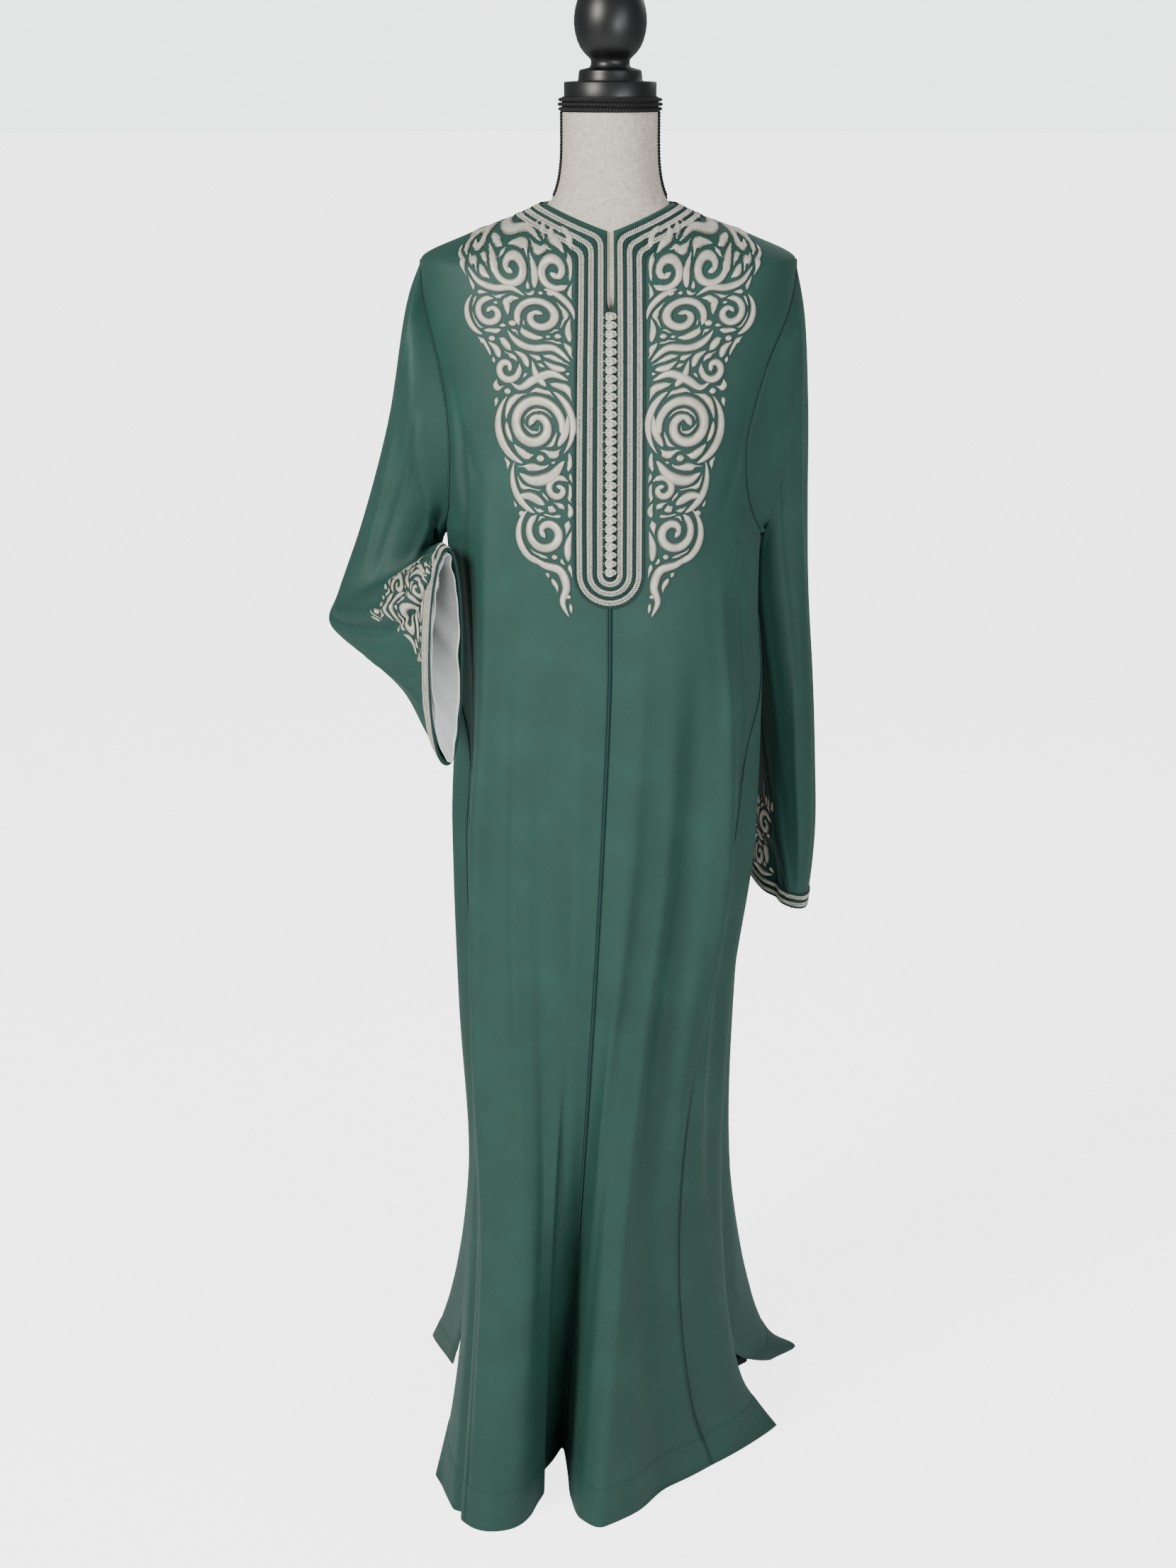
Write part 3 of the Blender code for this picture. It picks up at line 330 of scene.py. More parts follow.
RIGHT_SLEEVE_CREASES = (
    FoldLine(0.02, 0.42, 0.36, 0.46, 0, 12, -8.0),
    FoldLine(0.04, 0.10, 0.50, 0.12, 8, 10, 3.0),
    FoldLine(0.06, 0.26, 0.56, 0.20, -8, 10, -3.2),
    FoldLine(0.14, 0.36, 0.70, 0.32, 6, 9, 2.8),
    FoldLine(0.34, 0.06, 0.90, 0.16, -6, 9, -2.8),
    FoldLine(0.50, 0.24, 0.96, 0.22, 6, 8, 2.4),
    FoldLine(0.80, 0.39, 1.06, 0.35, 0, 12, -6.0),
    FoldLine(0.30, 0.48, 0.84, 0.47, 0, 14, 5.0),
    FoldLine(0.60, 0.38, 0.99, 0.27, 0, 6, 3.0),
    FoldLine(0.10, 0.66, 0.60, 0.62, 8, 12, 3.0),
    FoldLine(0.20, 0.82, 0.72, 0.78, -8, 12, -3.2),
    FoldLine(0.46, 0.92, 0.94, 0.86, 6, 9, 2.6),
)
SLEEVE_CREASES = {"left": LEFT_SLEEVE_CREASES, "right": RIGHT_SLEEVE_CREASES}
CUFF_BRAIDS = {"edge": 2.5 * MM, "second": 11.0 * MM}
# Where each sleeve's corded seam lies round it, at 0, 0.6, 0.8 and the whole of its length.
SEAM_SHARES = {"left": (0.54, 0.54, 0.54, 0.54), "right": (0.50, 0.43, 0.36, 0.26)}
# The hem's stitch line above its edge, and how much thicker the turned-up cloth is.
HEM_LINE, HEM_THICK = 43 * MM, 0.8 * MM
# The cords' thicknesses, and how far apart their strands lie as a share of them.
CENTRE_CORD, NECK_CORD, ARMHOLE_CORD, FINE_CORD = 3.4 * MM, 2.8 * MM, 2.4 * MM, 2.2 * MM
PIPING_CORD, GIMP_CORD = 4.4 * MM, 4.6 * MM
CORD_PITCH = 0.70
# How far above the cloth their middle lies: cords as a share of their size, braids in metres.
CORD_LIFT, BRAID_LIFT = 0.3, 0.4 * MM + 0.75 * MM
NECK_CORDS = {"inner_edge": 5.2 * MM, "first_gap": 14.4 * MM, "second_gap": 23.9 * MM,
              "outer_edge": 33.4 * MM}
CUFF_CORDS = {"hem": 0.8 * MM, "gap": 9.4 * MM, "upper": 17.6 * MM}
CUFF_BRAID_WIDTH = 5 * MM
# The ball inside a knotted button.
KNOT_CORE = 2.9 * MM
# How many rings and sides a thread strand's hump has.
STRAND_RINGS, STRAND_SIDES = 4, 4
# How many degrees of turn from the armhole the body's creases begin.
SLEEVE_HOLD = 7.0


# The camera, as worked out from the photo: its focus in pixels of an image this high.
IMAGE_HEIGHT = 2212
CAMERA_FOCUS = 3381
CAMERA_PITCH = 16.65
CAMERA_HEIGHT = 1.54
CAMERA_BEFORE = 2.5
CAMERA_ASIDE = -0.0223

Light = namedtuple("Light", "name watts size place aim color")
# How much brighter than lit the floor and the air are seen, and the camera's sensor in millimetres.
SEEN_GLOW, SENSOR = 3.2, 36.0
LIGHTS = (
    Light("key_softbox", 132.0, 1.0, (-2.1, -2.2, 2.6), (0.0, 0.0, 0.95), (1.0, 0.98, 0.95)),
    Light("cuff_softbox", 11.0, 0.4, (0.7, -1.7, 1.35), (-0.15, -0.1, 0.95), (1.0, 1.0, 1.0)),
    Light("fill_softbox", 27.0, 1.3, (1.9, -2.5, 1.7), (0.0, 0.0, 0.8), (0.95, 0.98, 1.0)),
    Light("rim_softbox", 8.0, 1.4, (1.4, 2.0, 2.6), (0.0, 0.0, 1.0), (1.0, 1.0, 1.0)),
)

UNDER_CLOTH = 1.2 * MM
Neck = namedtuple("Neck", "height radius drop")
FORM_NECK = (
    Neck(1.497, 0.0478, 0.0), Neck(1.484, 0.0478, 0.0), Neck(1.470, 0.0478, 0.0),
    Neck(1.458, 0.0480, 0.04), Neck(1.448, 0.0485, 0.1), Neck(1.438, 0.0496, 0.24),
    Neck(1.430, 0.0510, 0.4), Neck(1.422, 0.0532, 0.6), Neck(1.416, 0.0555, 0.8),
)
FORM_ROWS = (1.409, 1.398, 1.386, 1.370, 1.352, 1.335, 1.310, 1.280, 1.250, 1.220, 1.190, 1.145,
             1.100, 1.050, 1.000, 0.940, 0.880, 0.820, 0.760)
# The finial's radii and heights, turned in one with its cap.
FINIAL = (
    (0.0002, TRIM_TOP + GAP), (0.0465, TRIM_TOP + GAP), (0.0465, 1.5255), (0.0460, 1.5262),
    (0.0330, 1.5270), (0.0322, 1.5285), (0.0318, 1.5340), (0.0312, 1.5368), (0.0300, 1.5378),
    (0.0210, 1.5400), (0.0198, 1.5420), (0.0194, 1.5450), (0.0200, 1.5476), (0.0228, 1.5503),
    (0.0266, 1.5540), (0.0303, 1.5590), (0.0333, 1.5655), (0.0355, 1.5735), (0.0365, 1.5815),
    (0.0363, 1.5890), (0.0352, 1.5965), (0.0331, 1.6040), (0.0300, 1.6108), (0.0258, 1.6165),
    (0.0205, 1.6208), (0.0145, 1.6233), (0.0080, 1.6246), (0.0002, 1.6250),
)

Cut = namedtuple("Cut", "width length area")
# Each sleeve's length and its way round, in millimetres, over which its creases are laid.
SLEEVE_SIZES = {"left": (480, 560), "right": (640, 420)}
# The embroidery is drawn in millimetres: across from the centre of the front, and the height that the
# cloth is drafted at. It is a layout of plain arabesque scrolls, arcs, leaves and dots, and what is
# left free between them is filled with small leaves that follow them.
Scroll = namedtuple("Scroll", "across height radius turns start way width")
Arc = namedtuple("Arc", "across height radius start sweep width")
Leaf = namedtuple("Leaf", "across height end_across end_height bow width")
Stem = namedtuple("Stem", "places width")
Dot = namedtuple("Dot", "across height size")
Reach = namedtuple("Reach", "height across")
BODICE_INNER = 37.5
BODICE_FOOT, BODICE_TOP = 990, 1408
BODICE_REACH = (
    Reach(1010, 50), Reach(1040, 56), Reach(1062, 76), Reach(1098, 97), Reach(1140, 101),
    Reach(1176, 113), Reach(1236, 122), Reach(1252, 112), Reach(1268, 128), Reach(1302, 147),
    Reach(1326, 140), Reach(1345, 146), Reach(1366, 164), Reach(1386, 172), Reach(1402, 160),
)
BODICE_SCROLLS = (
    Scroll(64, 1094, 18, 1.30, 60, -1, 10.0),
    Scroll(52, 1138, 11, 1.15, 140, -1, 8.0),
    Scroll(75, 1200, 25, 1.50, 200, -1, 11.5),
    Scroll(104, 1254, 12, 1.10, 160, 1, 8.5),
    Scroll(71, 1312, 20.5, 1.40, -30, 1, 10.5),
    Scroll(121, 1312, 14.5, 1.20, 100, -1, 9.0),
    Scroll(56, 1364, 15, 1.25, 220, 1, 9.5),
    Scroll(100, 1362, 16, 1.30, 20, -1, 9.5),
    Scroll(144, 1376, 11, 1.10, -60, 1, 8.0),
)
BODICE_ARCS = (
    Arc(63, 1093, 31, -80, 130, 8.5),
    Arc(75, 1200, 40, -70, 112, 10.0),
    Arc(76, 1199, 39, 120, 100, 8.5),
    Arc(60, 1150, 40, -66, 84, 8.5),
    Arc(70, 1312, 34, 96, 84, 8.5),
    Arc(72, 1310, 35, -94, 66, 9.0),
    Arc(122, 1312, 26, -70, 110, 8.0),
)
BODICE_STEMS = (
    Stem(((42, 1010), (48, 1024), (44, 1040), (50, 1056), (68, 1062), (84, 1072)), 10.0),
    Stem(((46, 1166), (60, 1150), (80, 1146), (92, 1152)), 13.0),
    Stem(((42, 1244), (58, 1250), (76, 1244), (92, 1236), (100, 1240)), 10.0),
    Stem(((40, 1262), (56, 1276), (78, 1276), (98, 1284)), 9.5),
    Stem(((86, 1336), (98, 1342), (118, 1340), (134, 1344), (146, 1356)), 9.0),
    Stem(((72, 1386), (88, 1392), (112, 1388), (134, 1392), (150, 1394)), 8.0),
)
BODICE_LEAVES = (
    Leaf(42, 1066, 39, 1096, -2, 8.5),
    Leaf(66, 1122, 98, 1128, 5, 10.0),
    Leaf(41, 1110, 42, 1124, 2, 6.5),
    Leaf(52, 1180, 42, 1212, 3, 8.5),
    Leaf(64, 1238, 78, 1262, -3, 8.5),
    Leaf(44, 1254, 66, 1262, -2, 7.5),
    Leaf(82, 1256, 96, 1272, 3, 8.0),
    Leaf(112, 1264, 124, 1280, 3, 8.5),
    Leaf(40, 1284, 40, 1312, -2, 7.5),
    Leaf(118, 1354, 128, 1376, 3, 8.5),
    Leaf(40, 1386, 52, 1400, 3, 8.0),
    Leaf(76, 1346, 82, 1376, 3, 8.5),
)
BODICE_DOTS = (
    Dot(56, 1070, 6), Dot(90, 1112, 7), Dot(70, 1168, 8), Dot(104, 1232, 7), Dot(52, 1290, 7),
    Dot(98, 1302, 8), Dot(120, 1284, 7), Dot(60, 1342, 7), Dot(160, 1380, 7), Dot(42, 1030, 5),
)
# The cuffs' motif repeats round the sleeve: across is round it, and height is up from its edge.
CUFF_REPEAT = 96
CUFF_HEIGHT = 112
# The shares of the way round that the motif covers, from the outer fold over the front, apart from
# the tight inner fold.
CUFF_SHARES = {"left": ((0.18, 0.47), (0.58, 0.98)), "right": ((0.28, 0.47), (0.55, 0.98))}
CUFF_BAND_TOP = 18.5
CUFF_SCROLLS = (
    Scroll(28, 50, 19, 1.35, 250, 1, 10.0),
    Scroll(74, 42, 12, 1.15, 60, -1, 8.0),
    Scroll(58, 84, 13, 1.20, 160, -1, 8.5),
    Scroll(92, 84, 10, 1.10, 20, 1, 7.5),
)
CUFF_ARCS = (Arc(29, 50, 32, 30, 110, 8.5), Arc(74, 42, 22, -40, 120, 8.0))
CUFF_STEMS = (
    Stem(((46, 24), (60, 22), (80, 24), (98, 22)), 8.0),
    Stem(((6, 84), (16, 92), (30, 94), (42, 90)), 9.0),
)
CUFF_LEAVES = (Leaf(4, 34, 2, 62, -3, 8.5), Leaf(66, 60, 84, 70, 3, 8.5))
CUFF_DOTS = (Dot(50, 72, 6), Dot(2, 72, 6))
STITCH_STEP = 1.3
# In millimetres: how far fillers stand from the strokes beside them, the least free room for one,
# how wide they are at most, how many stitch steps they grow each way, and how far strokes are seen.
FILL_GAP, FILL_LEAST, FILL_MOST, FILL_LONG, FILL_SIGHT = 1.7, 3.1, 9.0, 16, 14
FILL_ROUNDS = 110


def lengths_along(points):
    """The lengths from a line's first point to each of its points."""
    return np.concatenate([[0], np.cumsum(np.linalg.norm(np.diff(points, axis=0), axis=1))])


def at_lengths(at, lengths, values):
    """The values, such as points, at some lengths along a line."""
    return np.stack([np.interp(at, lengths, values[:, axis]) for axis in range(3)], axis=-1)


def eased_between(start, end, share, rise, rise_after):
    """A smooth curve's place between two keys, with its slopes there over the whole step."""
    rest = 1 - share
    return (start * (1 + 2 * share) * rest**2 + end * (3 - 2 * share) * share**2
            + share * rest * (rise * rest - rise_after * share))


def column_at(rows, column, at):
    """One column of a table, as a curve over the table's first column that never overshoots."""
    rows = sorted(rows, key=lambda row: row[0])
    places = np.array([row[0] for row in rows], float)
    values = np.array([getattr(row, column) for row in rows], float)
    steps = np.diff(places)
    rises = np.diff(values) / steps
    slopes = np.zeros(len(rows))
    slopes[0], slopes[-1] = rises[0], rises[-1]
    same = rises[:-1] * rises[1:] > 0
    before, after = rises[:-1][same], rises[1:][same]
    slopes[1:-1][same] = 2 * before * after / (before + after)
    at = np.clip(np.asarray(at, float), places[0], places[-1])
    index = np.clip(np.searchsorted(places, at, side="right") - 1, 0, len(steps) - 1)
    step = steps[index]
    return eased_between(values[index], values[index + 1], (at - places[index]) / step,
                         step * slopes[index], step * slopes[index + 1])


def ease(share):
    """0 to 1 with a soft start and end."""
    share = np.clip(share, 0, 1)
    return share**2 * (3 - 2 * share)


def plain_ring(sections, turn, height):
    """A point of the rings round the post, with the front of the neckline lowered and no folds."""
    side = np.sin(np.radians(turn))
    ahead = np.cos(np.radians(turn))
    left, right, front, back = (column_at(sections, name, height) for name in Section._fields[1:])
    wide = np.where(side < 0, left, right)
    deep = np.where(ahead > 0, front, back)
    x = wide * np.sign(side) * np.abs(side) ** ROUNDNESS
    y = -deep * np.sign(ahead) * np.abs(ahead) ** ROUNDNESS
    lowered = column_at(NECK_DROP, "front", height) * (1 - np.abs(side)) * (ahead > 0)
    return np.stack([x, y, height - lowered], axis=-1)


def hem_moves(rows):
    """How far the hem's places lie from the lowest plain ring, as a table over the turn."""
    move = namedtuple("Move", "turn x y start")
    found = []
    for row in rows:
        ring = plain_ring(TRUNK, float(row.turn), HEM)
        found.append(move(row.turn, row.x - ring[0], row.y - ring[1], row.start))
    return tuple(found)


MOVES_FRONT = hem_moves(HEM_FRONT)
MOVES_BACK = hem_moves(HEM_BACK)


def folds_out(turn, height):
    """How far the long folds stand out of the rings."""
    out = np.zeros(np.broadcast(turn, height).shape)
    for fold in FOLDS:
        down = np.clip((fold.top - height) / (fold.top - fold.foot), 0, 1)
        middle = fold.top_turn + (fold.foot_turn - fold.top_turn) * down
        across = np.clip((turn - middle) / fold.half_width, -1, 1)
        out += fold.depth * np.cos(across * math.pi / 2) ** 2 * np.sin(down * math.pi) ** 0.8
    return out


def body(turn, height, rear=False):
    """The outer face of the kaftan's body. Turns run from -90 through the front to 90, and on to
    270 round the back, where rear is set."""
    turn, height = np.broadcast_arrays(np.asarray(turn, float), np.asarray(height, float))
    point = plain_ring(TRUNK, turn, height)
    moves = MOVES_BACK if rear else MOVES_FRONT
    lean = np.clip((LEAN_START - height) / LEAN_START, 0, 1) ** LEAN_POWER
    start = column_at(moves, "start", turn)
    sink = np.clip((start - height) / start, 0, 1) ** FOLD_POWER
    near_side = ease((90 - np.abs(np.where(turn > 90, turn - 180, turn))) / 30)
    lean = sink + (lean - sink) * near_side
    outward = np.stack([np.sin(np.radians(turn)), -np.cos(np.radians(turn))], axis=-1)
    point[..., 0] += lean * column_at(moves, "x", turn)
    point[..., 1] += sink * column_at(moves, "y", turn)
    point[..., :2] += outward * folds_out(turn, height)[..., None]
    return point


def unit(vectors):
    return vectors / np.linalg.norm(vectors, axis=-1, keepdims=True)


def body_normal(turn, height, rear=False):
    """The outward normal of the body's outer face."""
    near, tall = 0.4, 2 * MM
    across = body(turn + near, height, rear) - body(turn - near, height, rear)
    up = body(turn, height + tall, rear) - body(turn, height - tall, rear)
    low = np.asarray(height) - tall < HEM
    up = np.where(np.broadcast_to(low, up.shape[:-1])[..., None],
                  body(turn, height + tall, rear) - body(turn, height, rear), up)
    return unit(np.cross(across, up))


def degrees_of(length, turn, height, rear=False):
    """The turn that a length across the cloth takes up at a place."""
    step = 0.5
    across = body(turn + step, height, rear) - body(turn - step, height, rear)
    return length * 2 * step / np.linalg.norm(across, axis=-1)


def signed_body(turn, height):
    """The body's outer face and normal for turns of -180 to 180, front and back alike."""
    turn, height = np.broadcast_arrays(np.asarray(turn, float), np.asarray(height, float))
    behind = np.where(turn < -90, turn + 360, turn)
    rear = (np.abs(turn) > 90)[..., None]
    point = np.where(rear, body(behind, height, True), body(turn, height))
    normal = np.where(rear, body_normal(behind, height, True), body_normal(turn, height))
    return point, normal


def soft_dents(turn, height, creases):
    """How far the creases stand out of the cloth: each a soft trough or ridge on a bowed line."""
    out = np.zeros(np.broadcast(turn, height).shape)
    for crease in creases:
        scale = MM_PER_TURN * MM
        across = (crease.end_turn - crease.turn) * scale
        down = crease.end_height - crease.height
        length = math.hypot(across, down)
        x = (turn - crease.turn) * scale
        y = height - crease.height
        along = (x * across + y * down) / length**2
        aside = (x * down - y * across) / length - crease.bow * MM * 4 * along * (1 - along)
        near = np.exp(-(aside / (crease.width * MM)) ** 2)
        ends = np.sin(np.clip(along, 0, 1) * math.pi) ** 0.7 * ((along > 0) & (along < 1))
        out += crease.depth * MM * near * ends
    return out


def new_object(name, data):
    obj = bpy.data.objects.new(name, data)
    bpy.context.scene.collection.objects.link(obj)
    return obj


def finished(obj, slot, *nodes):
    """Rides with the stand, takes its finish from a slot and stands for solids."""
    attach(obj, "root")
    if nodes:
        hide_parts(*nodes)
    return obj


def placed(points):
    """Moves points from round the post to where the stand's post is."""
    return np.asarray(points) + POST


def cloth(name, outer, normals, thickness, material, lining, closed=False):
    """A thin wall of cloth, from a grid of its outer points, rows by columns, with its lining."""
    inner = outer - thickness * normals
    inner[..., 2] = np.maximum(inner[..., 2], HEM)
    rows, columns = outer.shape[:2]
    count = rows * columns
    index = np.arange(count).reshape(rows, columns)
    if closed:
        index = np.concatenate([index, index[:, :1]], axis=1)
    face = np.stack([index[:-1, :-1], index[:-1, 1:], index[1:, 1:], index[1:, :-1]], axis=-1)
    face = face.reshape(-1, 4)
    rims = [(index[0], False), (index[-1], True)]
    if not closed:
        rims += [(index[:, 0], True), (index[:, -1], False)]
    strips = []
    for rim, turned_round in rims:
        strip = np.stack([rim[:-1], rim[:-1] + count, rim[1:] + count, rim[1:]], axis=-1)
        strips.append(strip[:, ::-1] if turned_round else strip)
    faces = np.concatenate([face, face[:, ::-1] + count] + strips)
    # The first face's own direction tells which way round all of them must run.
    corners = outer.reshape(-1, 3)[face[len(face) // 2]]
    facing = np.dot(np.cross(corners[1] - corners[0], corners[2] - corners[0]),
                    normals.reshape(-1, 3)[face[len(face) // 2][0]])
    if facing < 0:
        faces = faces[:, ::-1]
    points = placed(np.concatenate([outer.reshape(-1, 3), inner.reshape(-1, 3)]))
    mesh = bpy.data.meshes.new(name)
    mesh.from_pydata(points, [], faces.tolist())
    mesh.materials.append(material)
    mesh.materials.append(lining)
    inside = np.zeros(len(faces), np.int32)
    inside[len(face):2 * len(face)] = 1
    mesh.polygons.foreach_set("material_index", inside)
    both = np.tile(grid_lengths(outer).reshape(-1, 2), (2, 1))
    layer = mesh.uv_layers.new(name="cloth")
    layer.data.foreach_set("uv", both[faces.reshape(-1)].astype(np.float32).reshape(-1))
    mesh.shade_smooth()
    mesh.update()
    return new_object(name, mesh)


def grid_lengths(points):
    """Metres across and down the cloth, as a flat pattern's coordinates."""
    across = np.linalg.norm(np.diff(points, axis=1), axis=-1)
    down = np.linalg.norm(np.diff(points, axis=0), axis=-1)
    u = np.concatenate([np.zeros((len(points), 1)), np.cumsum(across, axis=1)], axis=1)
    v = np.concatenate([np.zeros((1, points.shape[1])), np.cumsum(down, axis=0)], axis=0)
    return np.stack([u - u.mean(axis=1, keepdims=True), v], axis=-1)


def panel(name, heights, first, last, columns, creases, rear, material, lining):
    """A body panel between two edges, given as turns for each height."""
    height = np.asarray(heights, float)[:, None]
    share = np.linspace(0, 1, columns)[None, :]
    turn = first[:, None] + (last - first)[:, None] * share
    height = np.broadcast_to(height, turn.shape)
    outer = body(turn, height, rear)
    normals = body_normal(turn, height, rear)
    turned_up = HEM_THICK * ease((HEM_LINE - height) / (4 * MM))
    # The creases die out where the cloth is sewn to a sleeve.
    from_seam = np.minimum(share, 1 - share) * abs(last - first)[:, None]
    free = 1 - (1 - ease(from_seam / SLEEVE_HOLD)) * ease((height - ARM_ROWS[-1]) / (30 * MM) + 1)
    outer = outer + normals * (soft_dents(turn, height, creases) * free + turned_up)[..., None]
    outer[..., 2] = np.maximum(outer[..., 2], HEM)
    return cloth(name, outer, normals, WALL, material, lining)


def rows_between(top, foot, step=6 * MM):
    """Heights from top to foot, closer where the shoulders turn over."""
    heights = [top]
    while heights[-1] > foot + step:
        heights.append(heights[-1] - (step / 3 if heights[-1] > SHOULDER else step))
    return np.array(heights + [foot])


def seam_turns(seam, rows, side, rear=False):
    """A seam's turns at the rows, moved half a seam gap to one side (-1 or 1)."""
    return side_turns(rows, column_at(seam, "turn", rows), side, rear)


def slit_turns(rows, side):
    """The centre edge of a front: parted at the neck, then a seam."""
    open_share = ease((rows - SLIT_FOOT) / (20 * MM))
    half = SEAM_GAP / 2 + (SLIT_HALF_WIDTH - SEAM_GAP / 2) * open_share
    return side * degrees_of(half, np.zeros(len(rows)), rows)


def armhole(front_seam, back_seam, rows):
    """The armhole's points and normals, down the front to the armpit and up the back."""
    heights = np.array(rows)
    down = column_at(front_seam, "turn", heights)
    up = column_at(back_seam, "turn", heights)[::-1]
    points = np.concatenate([body(down, heights), body(up, heights[::-1], True)[1:-1]])
    normals = np.concatenate([body_normal(down, heights), body_normal(up, heights[::-1], True)[1:-1]])
    middle = points.mean(axis=0)
    return points + SEAM_GAP * unit(middle - points), normals


def ring_points(ring):
    """A flattened loop from one row of a sleeve's table."""
    outer, inner = np.array(ring.outer), np.array(ring.inner)
    around = np.arange(RING_POINTS) * 2 * math.pi / RING_POINTS
    middle = (outer + inner) / 2
    along = (outer - inner) / 2
    depth = np.where(np.sin(around)[:, None] > 0, [(*ring.front, 0)], [(*ring.back, 0)])
    full = np.abs(np.sin(around)[:, None]) ** 0.9
    return middle + along * np.cos(around)[:, None] + depth * full


def through(keys, between):
    """Points on smooth curves through the key rings, so many steps from each to the next."""
    keys = np.asarray(keys)
    steps = np.linalg.norm(np.diff(keys, axis=0), axis=-1).mean(axis=-1)
    places = np.concatenate([[0], np.cumsum(steps)])
    slopes = np.gradient(keys, places, axis=0)
    rings = []
    for index in range(len(keys) - 1):
        rings += [eased_between(keys[index], keys[index + 1], share, steps[index] * slopes[index],
                                steps[index] * slopes[index + 1])
                  for share in np.arange(between) / between]
    return np.array(rings + [keys[-1]])


def round_the_loop(rings, between):
    """More points between those of closed rings, on smooth curves through them."""
    before, after = np.roll(rings, 1, axis=1), np.roll(rings, -1, axis=1)
    beyond = np.roll(rings, -2, axis=1)
    found = [eased_between(rings, after, share, (after - before) / 2, (beyond - rings) / 2)
             for share in np.arange(between) / between]
    return np.stack(found, axis=2).reshape(len(rings), -1, 3)


def grid_normals(rings):
    """Outward normals of a tube of rings, away from its middle line."""
    along = np.gradient(rings, axis=0)
    around = np.roll(rings, -1, axis=1) - np.roll(rings, 1, axis=1)
    normals = unit(np.cross(along, around))
    out = np.einsum("ijk,ijk->ij", normals, rings - rings.mean(axis=1)[:, None])
    return normals * np.where(out.mean() < 0, -1, 1)


def sleeve_grid(side):
    """A sleeve's smooth outer points and normals, from the armhole to the cuff."""
    start, start_normals = armhole(*SIDE_SEAMS[side], ARM_ROWS)
    rings = through([start] + [ring_points(ring) for ring in SLEEVES[side]], SLEEVE_STEPS)
    rings = round_the_loop(rings, SLEEVE_ROUND)
    normals = grid_normals(rings)
    normals[0] = unit(normals[0] + round_the_loop(start_normals[None], SLEEVE_ROUND)[0])
    return rings, normals


def turn_across(length, height):
    """The turn that lies a length to the right of the front's centre, across the cloth."""
    turns = np.linspace(0, 75, 151)
    points = body(turns, np.full(len(turns), height))
    lengths = lengths_along(points)
    return float(np.interp(length, lengths, turns))


def lengths_below_neck(turn, rear=False):
    """Heights down the cloth from the neckline, and the lengths along the cloth to them."""
    heights = np.linspace(NECKLINE, BRAID_TURN_HEIGHT, 240)
    points = body(np.full(len(heights), float(turn)), heights, rear)
    lengths = lengths_along(points)
    return heights, lengths


def height_below_neck(length, turn, rear=False):
    """The height that lies a length down the cloth from the neckline."""
    heights, lengths = lengths_below_neck(turn, rear)
    return float(np.interp(length, lengths, heights))


def band_route(offset):
    """Turns and heights of a braid's middle line on the right half, from the centre at its foot,
    up beside the slit, round the corner and round the neckline to the middle of the back."""
    route = []
    for angle in np.radians(np.linspace(0, 90, 10)):
        height = BRAID_TURN_HEIGHT - offset * math.cos(angle)
        route.append((turn_across(offset * math.sin(angle), height), height))
    corner_height = height_below_neck(offset + BRAID_CORNER, 4)
    for height in np.linspace(BRAID_TURN_HEIGHT, corner_height, 36)[1:]:
        route.append((turn_across(offset, height), height))
    for angle in np.radians((22, 45, 68, 90)):
        across = offset + BRAID_CORNER * (1 - math.cos(angle))
        height = height_below_neck(offset + BRAID_CORNER * (1 - math.sin(angle)), 8)
        route.append((turn_across(across, height), height))
    first = route[-1][0]
    for turn in np.linspace(first, 180, 40)[1:]:
        route.append((float(turn), height_below_neck(offset, turn, turn > 90)))
    return route


def closed_band(offset):
    """Points and normals of a line that runs down both sides of the slit and round the neck."""
    right = np.array(band_route(offset))
    left = right[1:-1] * (-1, 1)
    whole = np.concatenate([right, left[::-1]])
    return signed_body(whole[:, 0], whole[:, 1])


def spaced(points, normals, pitch, closed=False):
    """Even places along a line, each with its normal and the line's direction there."""
    if closed:
        points = np.concatenate([points, points[:1]])
        normals = np.concatenate([normals, normals[:1]])
    lengths = lengths_along(points)
    count = max(int(round(lengths[-1] / pitch)), 2)
    ends = np.linspace(0, lengths[-1], count + 1)
    at = ends[:-1] if closed else ends
    place = at_lengths(at, lengths, points)
    normal = unit(at_lengths(at, lengths, normals))
    before, after = at - pitch / 2, at + pitch / 2
    if closed:
        before, after = before % lengths[-1], after % lengths[-1]
    along = at_lengths(after, lengths, points) - at_lengths(before, lengths, points)
    along = unit(along - normal * np.einsum("ij,ij->i", along, normal)[:, None])
    return place, normal, along


def linear(hex_color):
    """An sRGB hex colour as linear red, green, blue and full alpha."""
    parts = [int(hex_color[index:index + 2], 16) / 255 for index in (1, 3, 5)]
    return tuple((part / 12.92 if part <= 0.04045 else ((part + 0.055) / 1.055) ** 2.4)
                 for part in parts) + (1.0,)


def node(owner, kind, links=(), **settings):
    """Adds a node to a tree or to what has one, with its settings, values and feeding sockets."""
    tree = getattr(owner, "node_tree", owner)
    added = tree.nodes.new(kind)
    for key, value in settings.items():
        setattr(added, key, value)
    for socket, value in links:
        if isinstance(value, bpy.types.NodeSocket):
            tree.links.new(value, added.inputs[socket])
        else:
            added.inputs[socket].default_value = value
    return added


def start_material(name, **sockets):
    """A material with a Principled shader, its constants set on the shader's own sockets."""
    material = bpy.data.materials.new(name)
    material.use_nodes = True
    shader = material.node_tree.nodes["Principled BSDF"]
    for socket, value in sockets.items():
        shader.inputs[socket.replace("_", " ")].default_value = value
    return material, shader


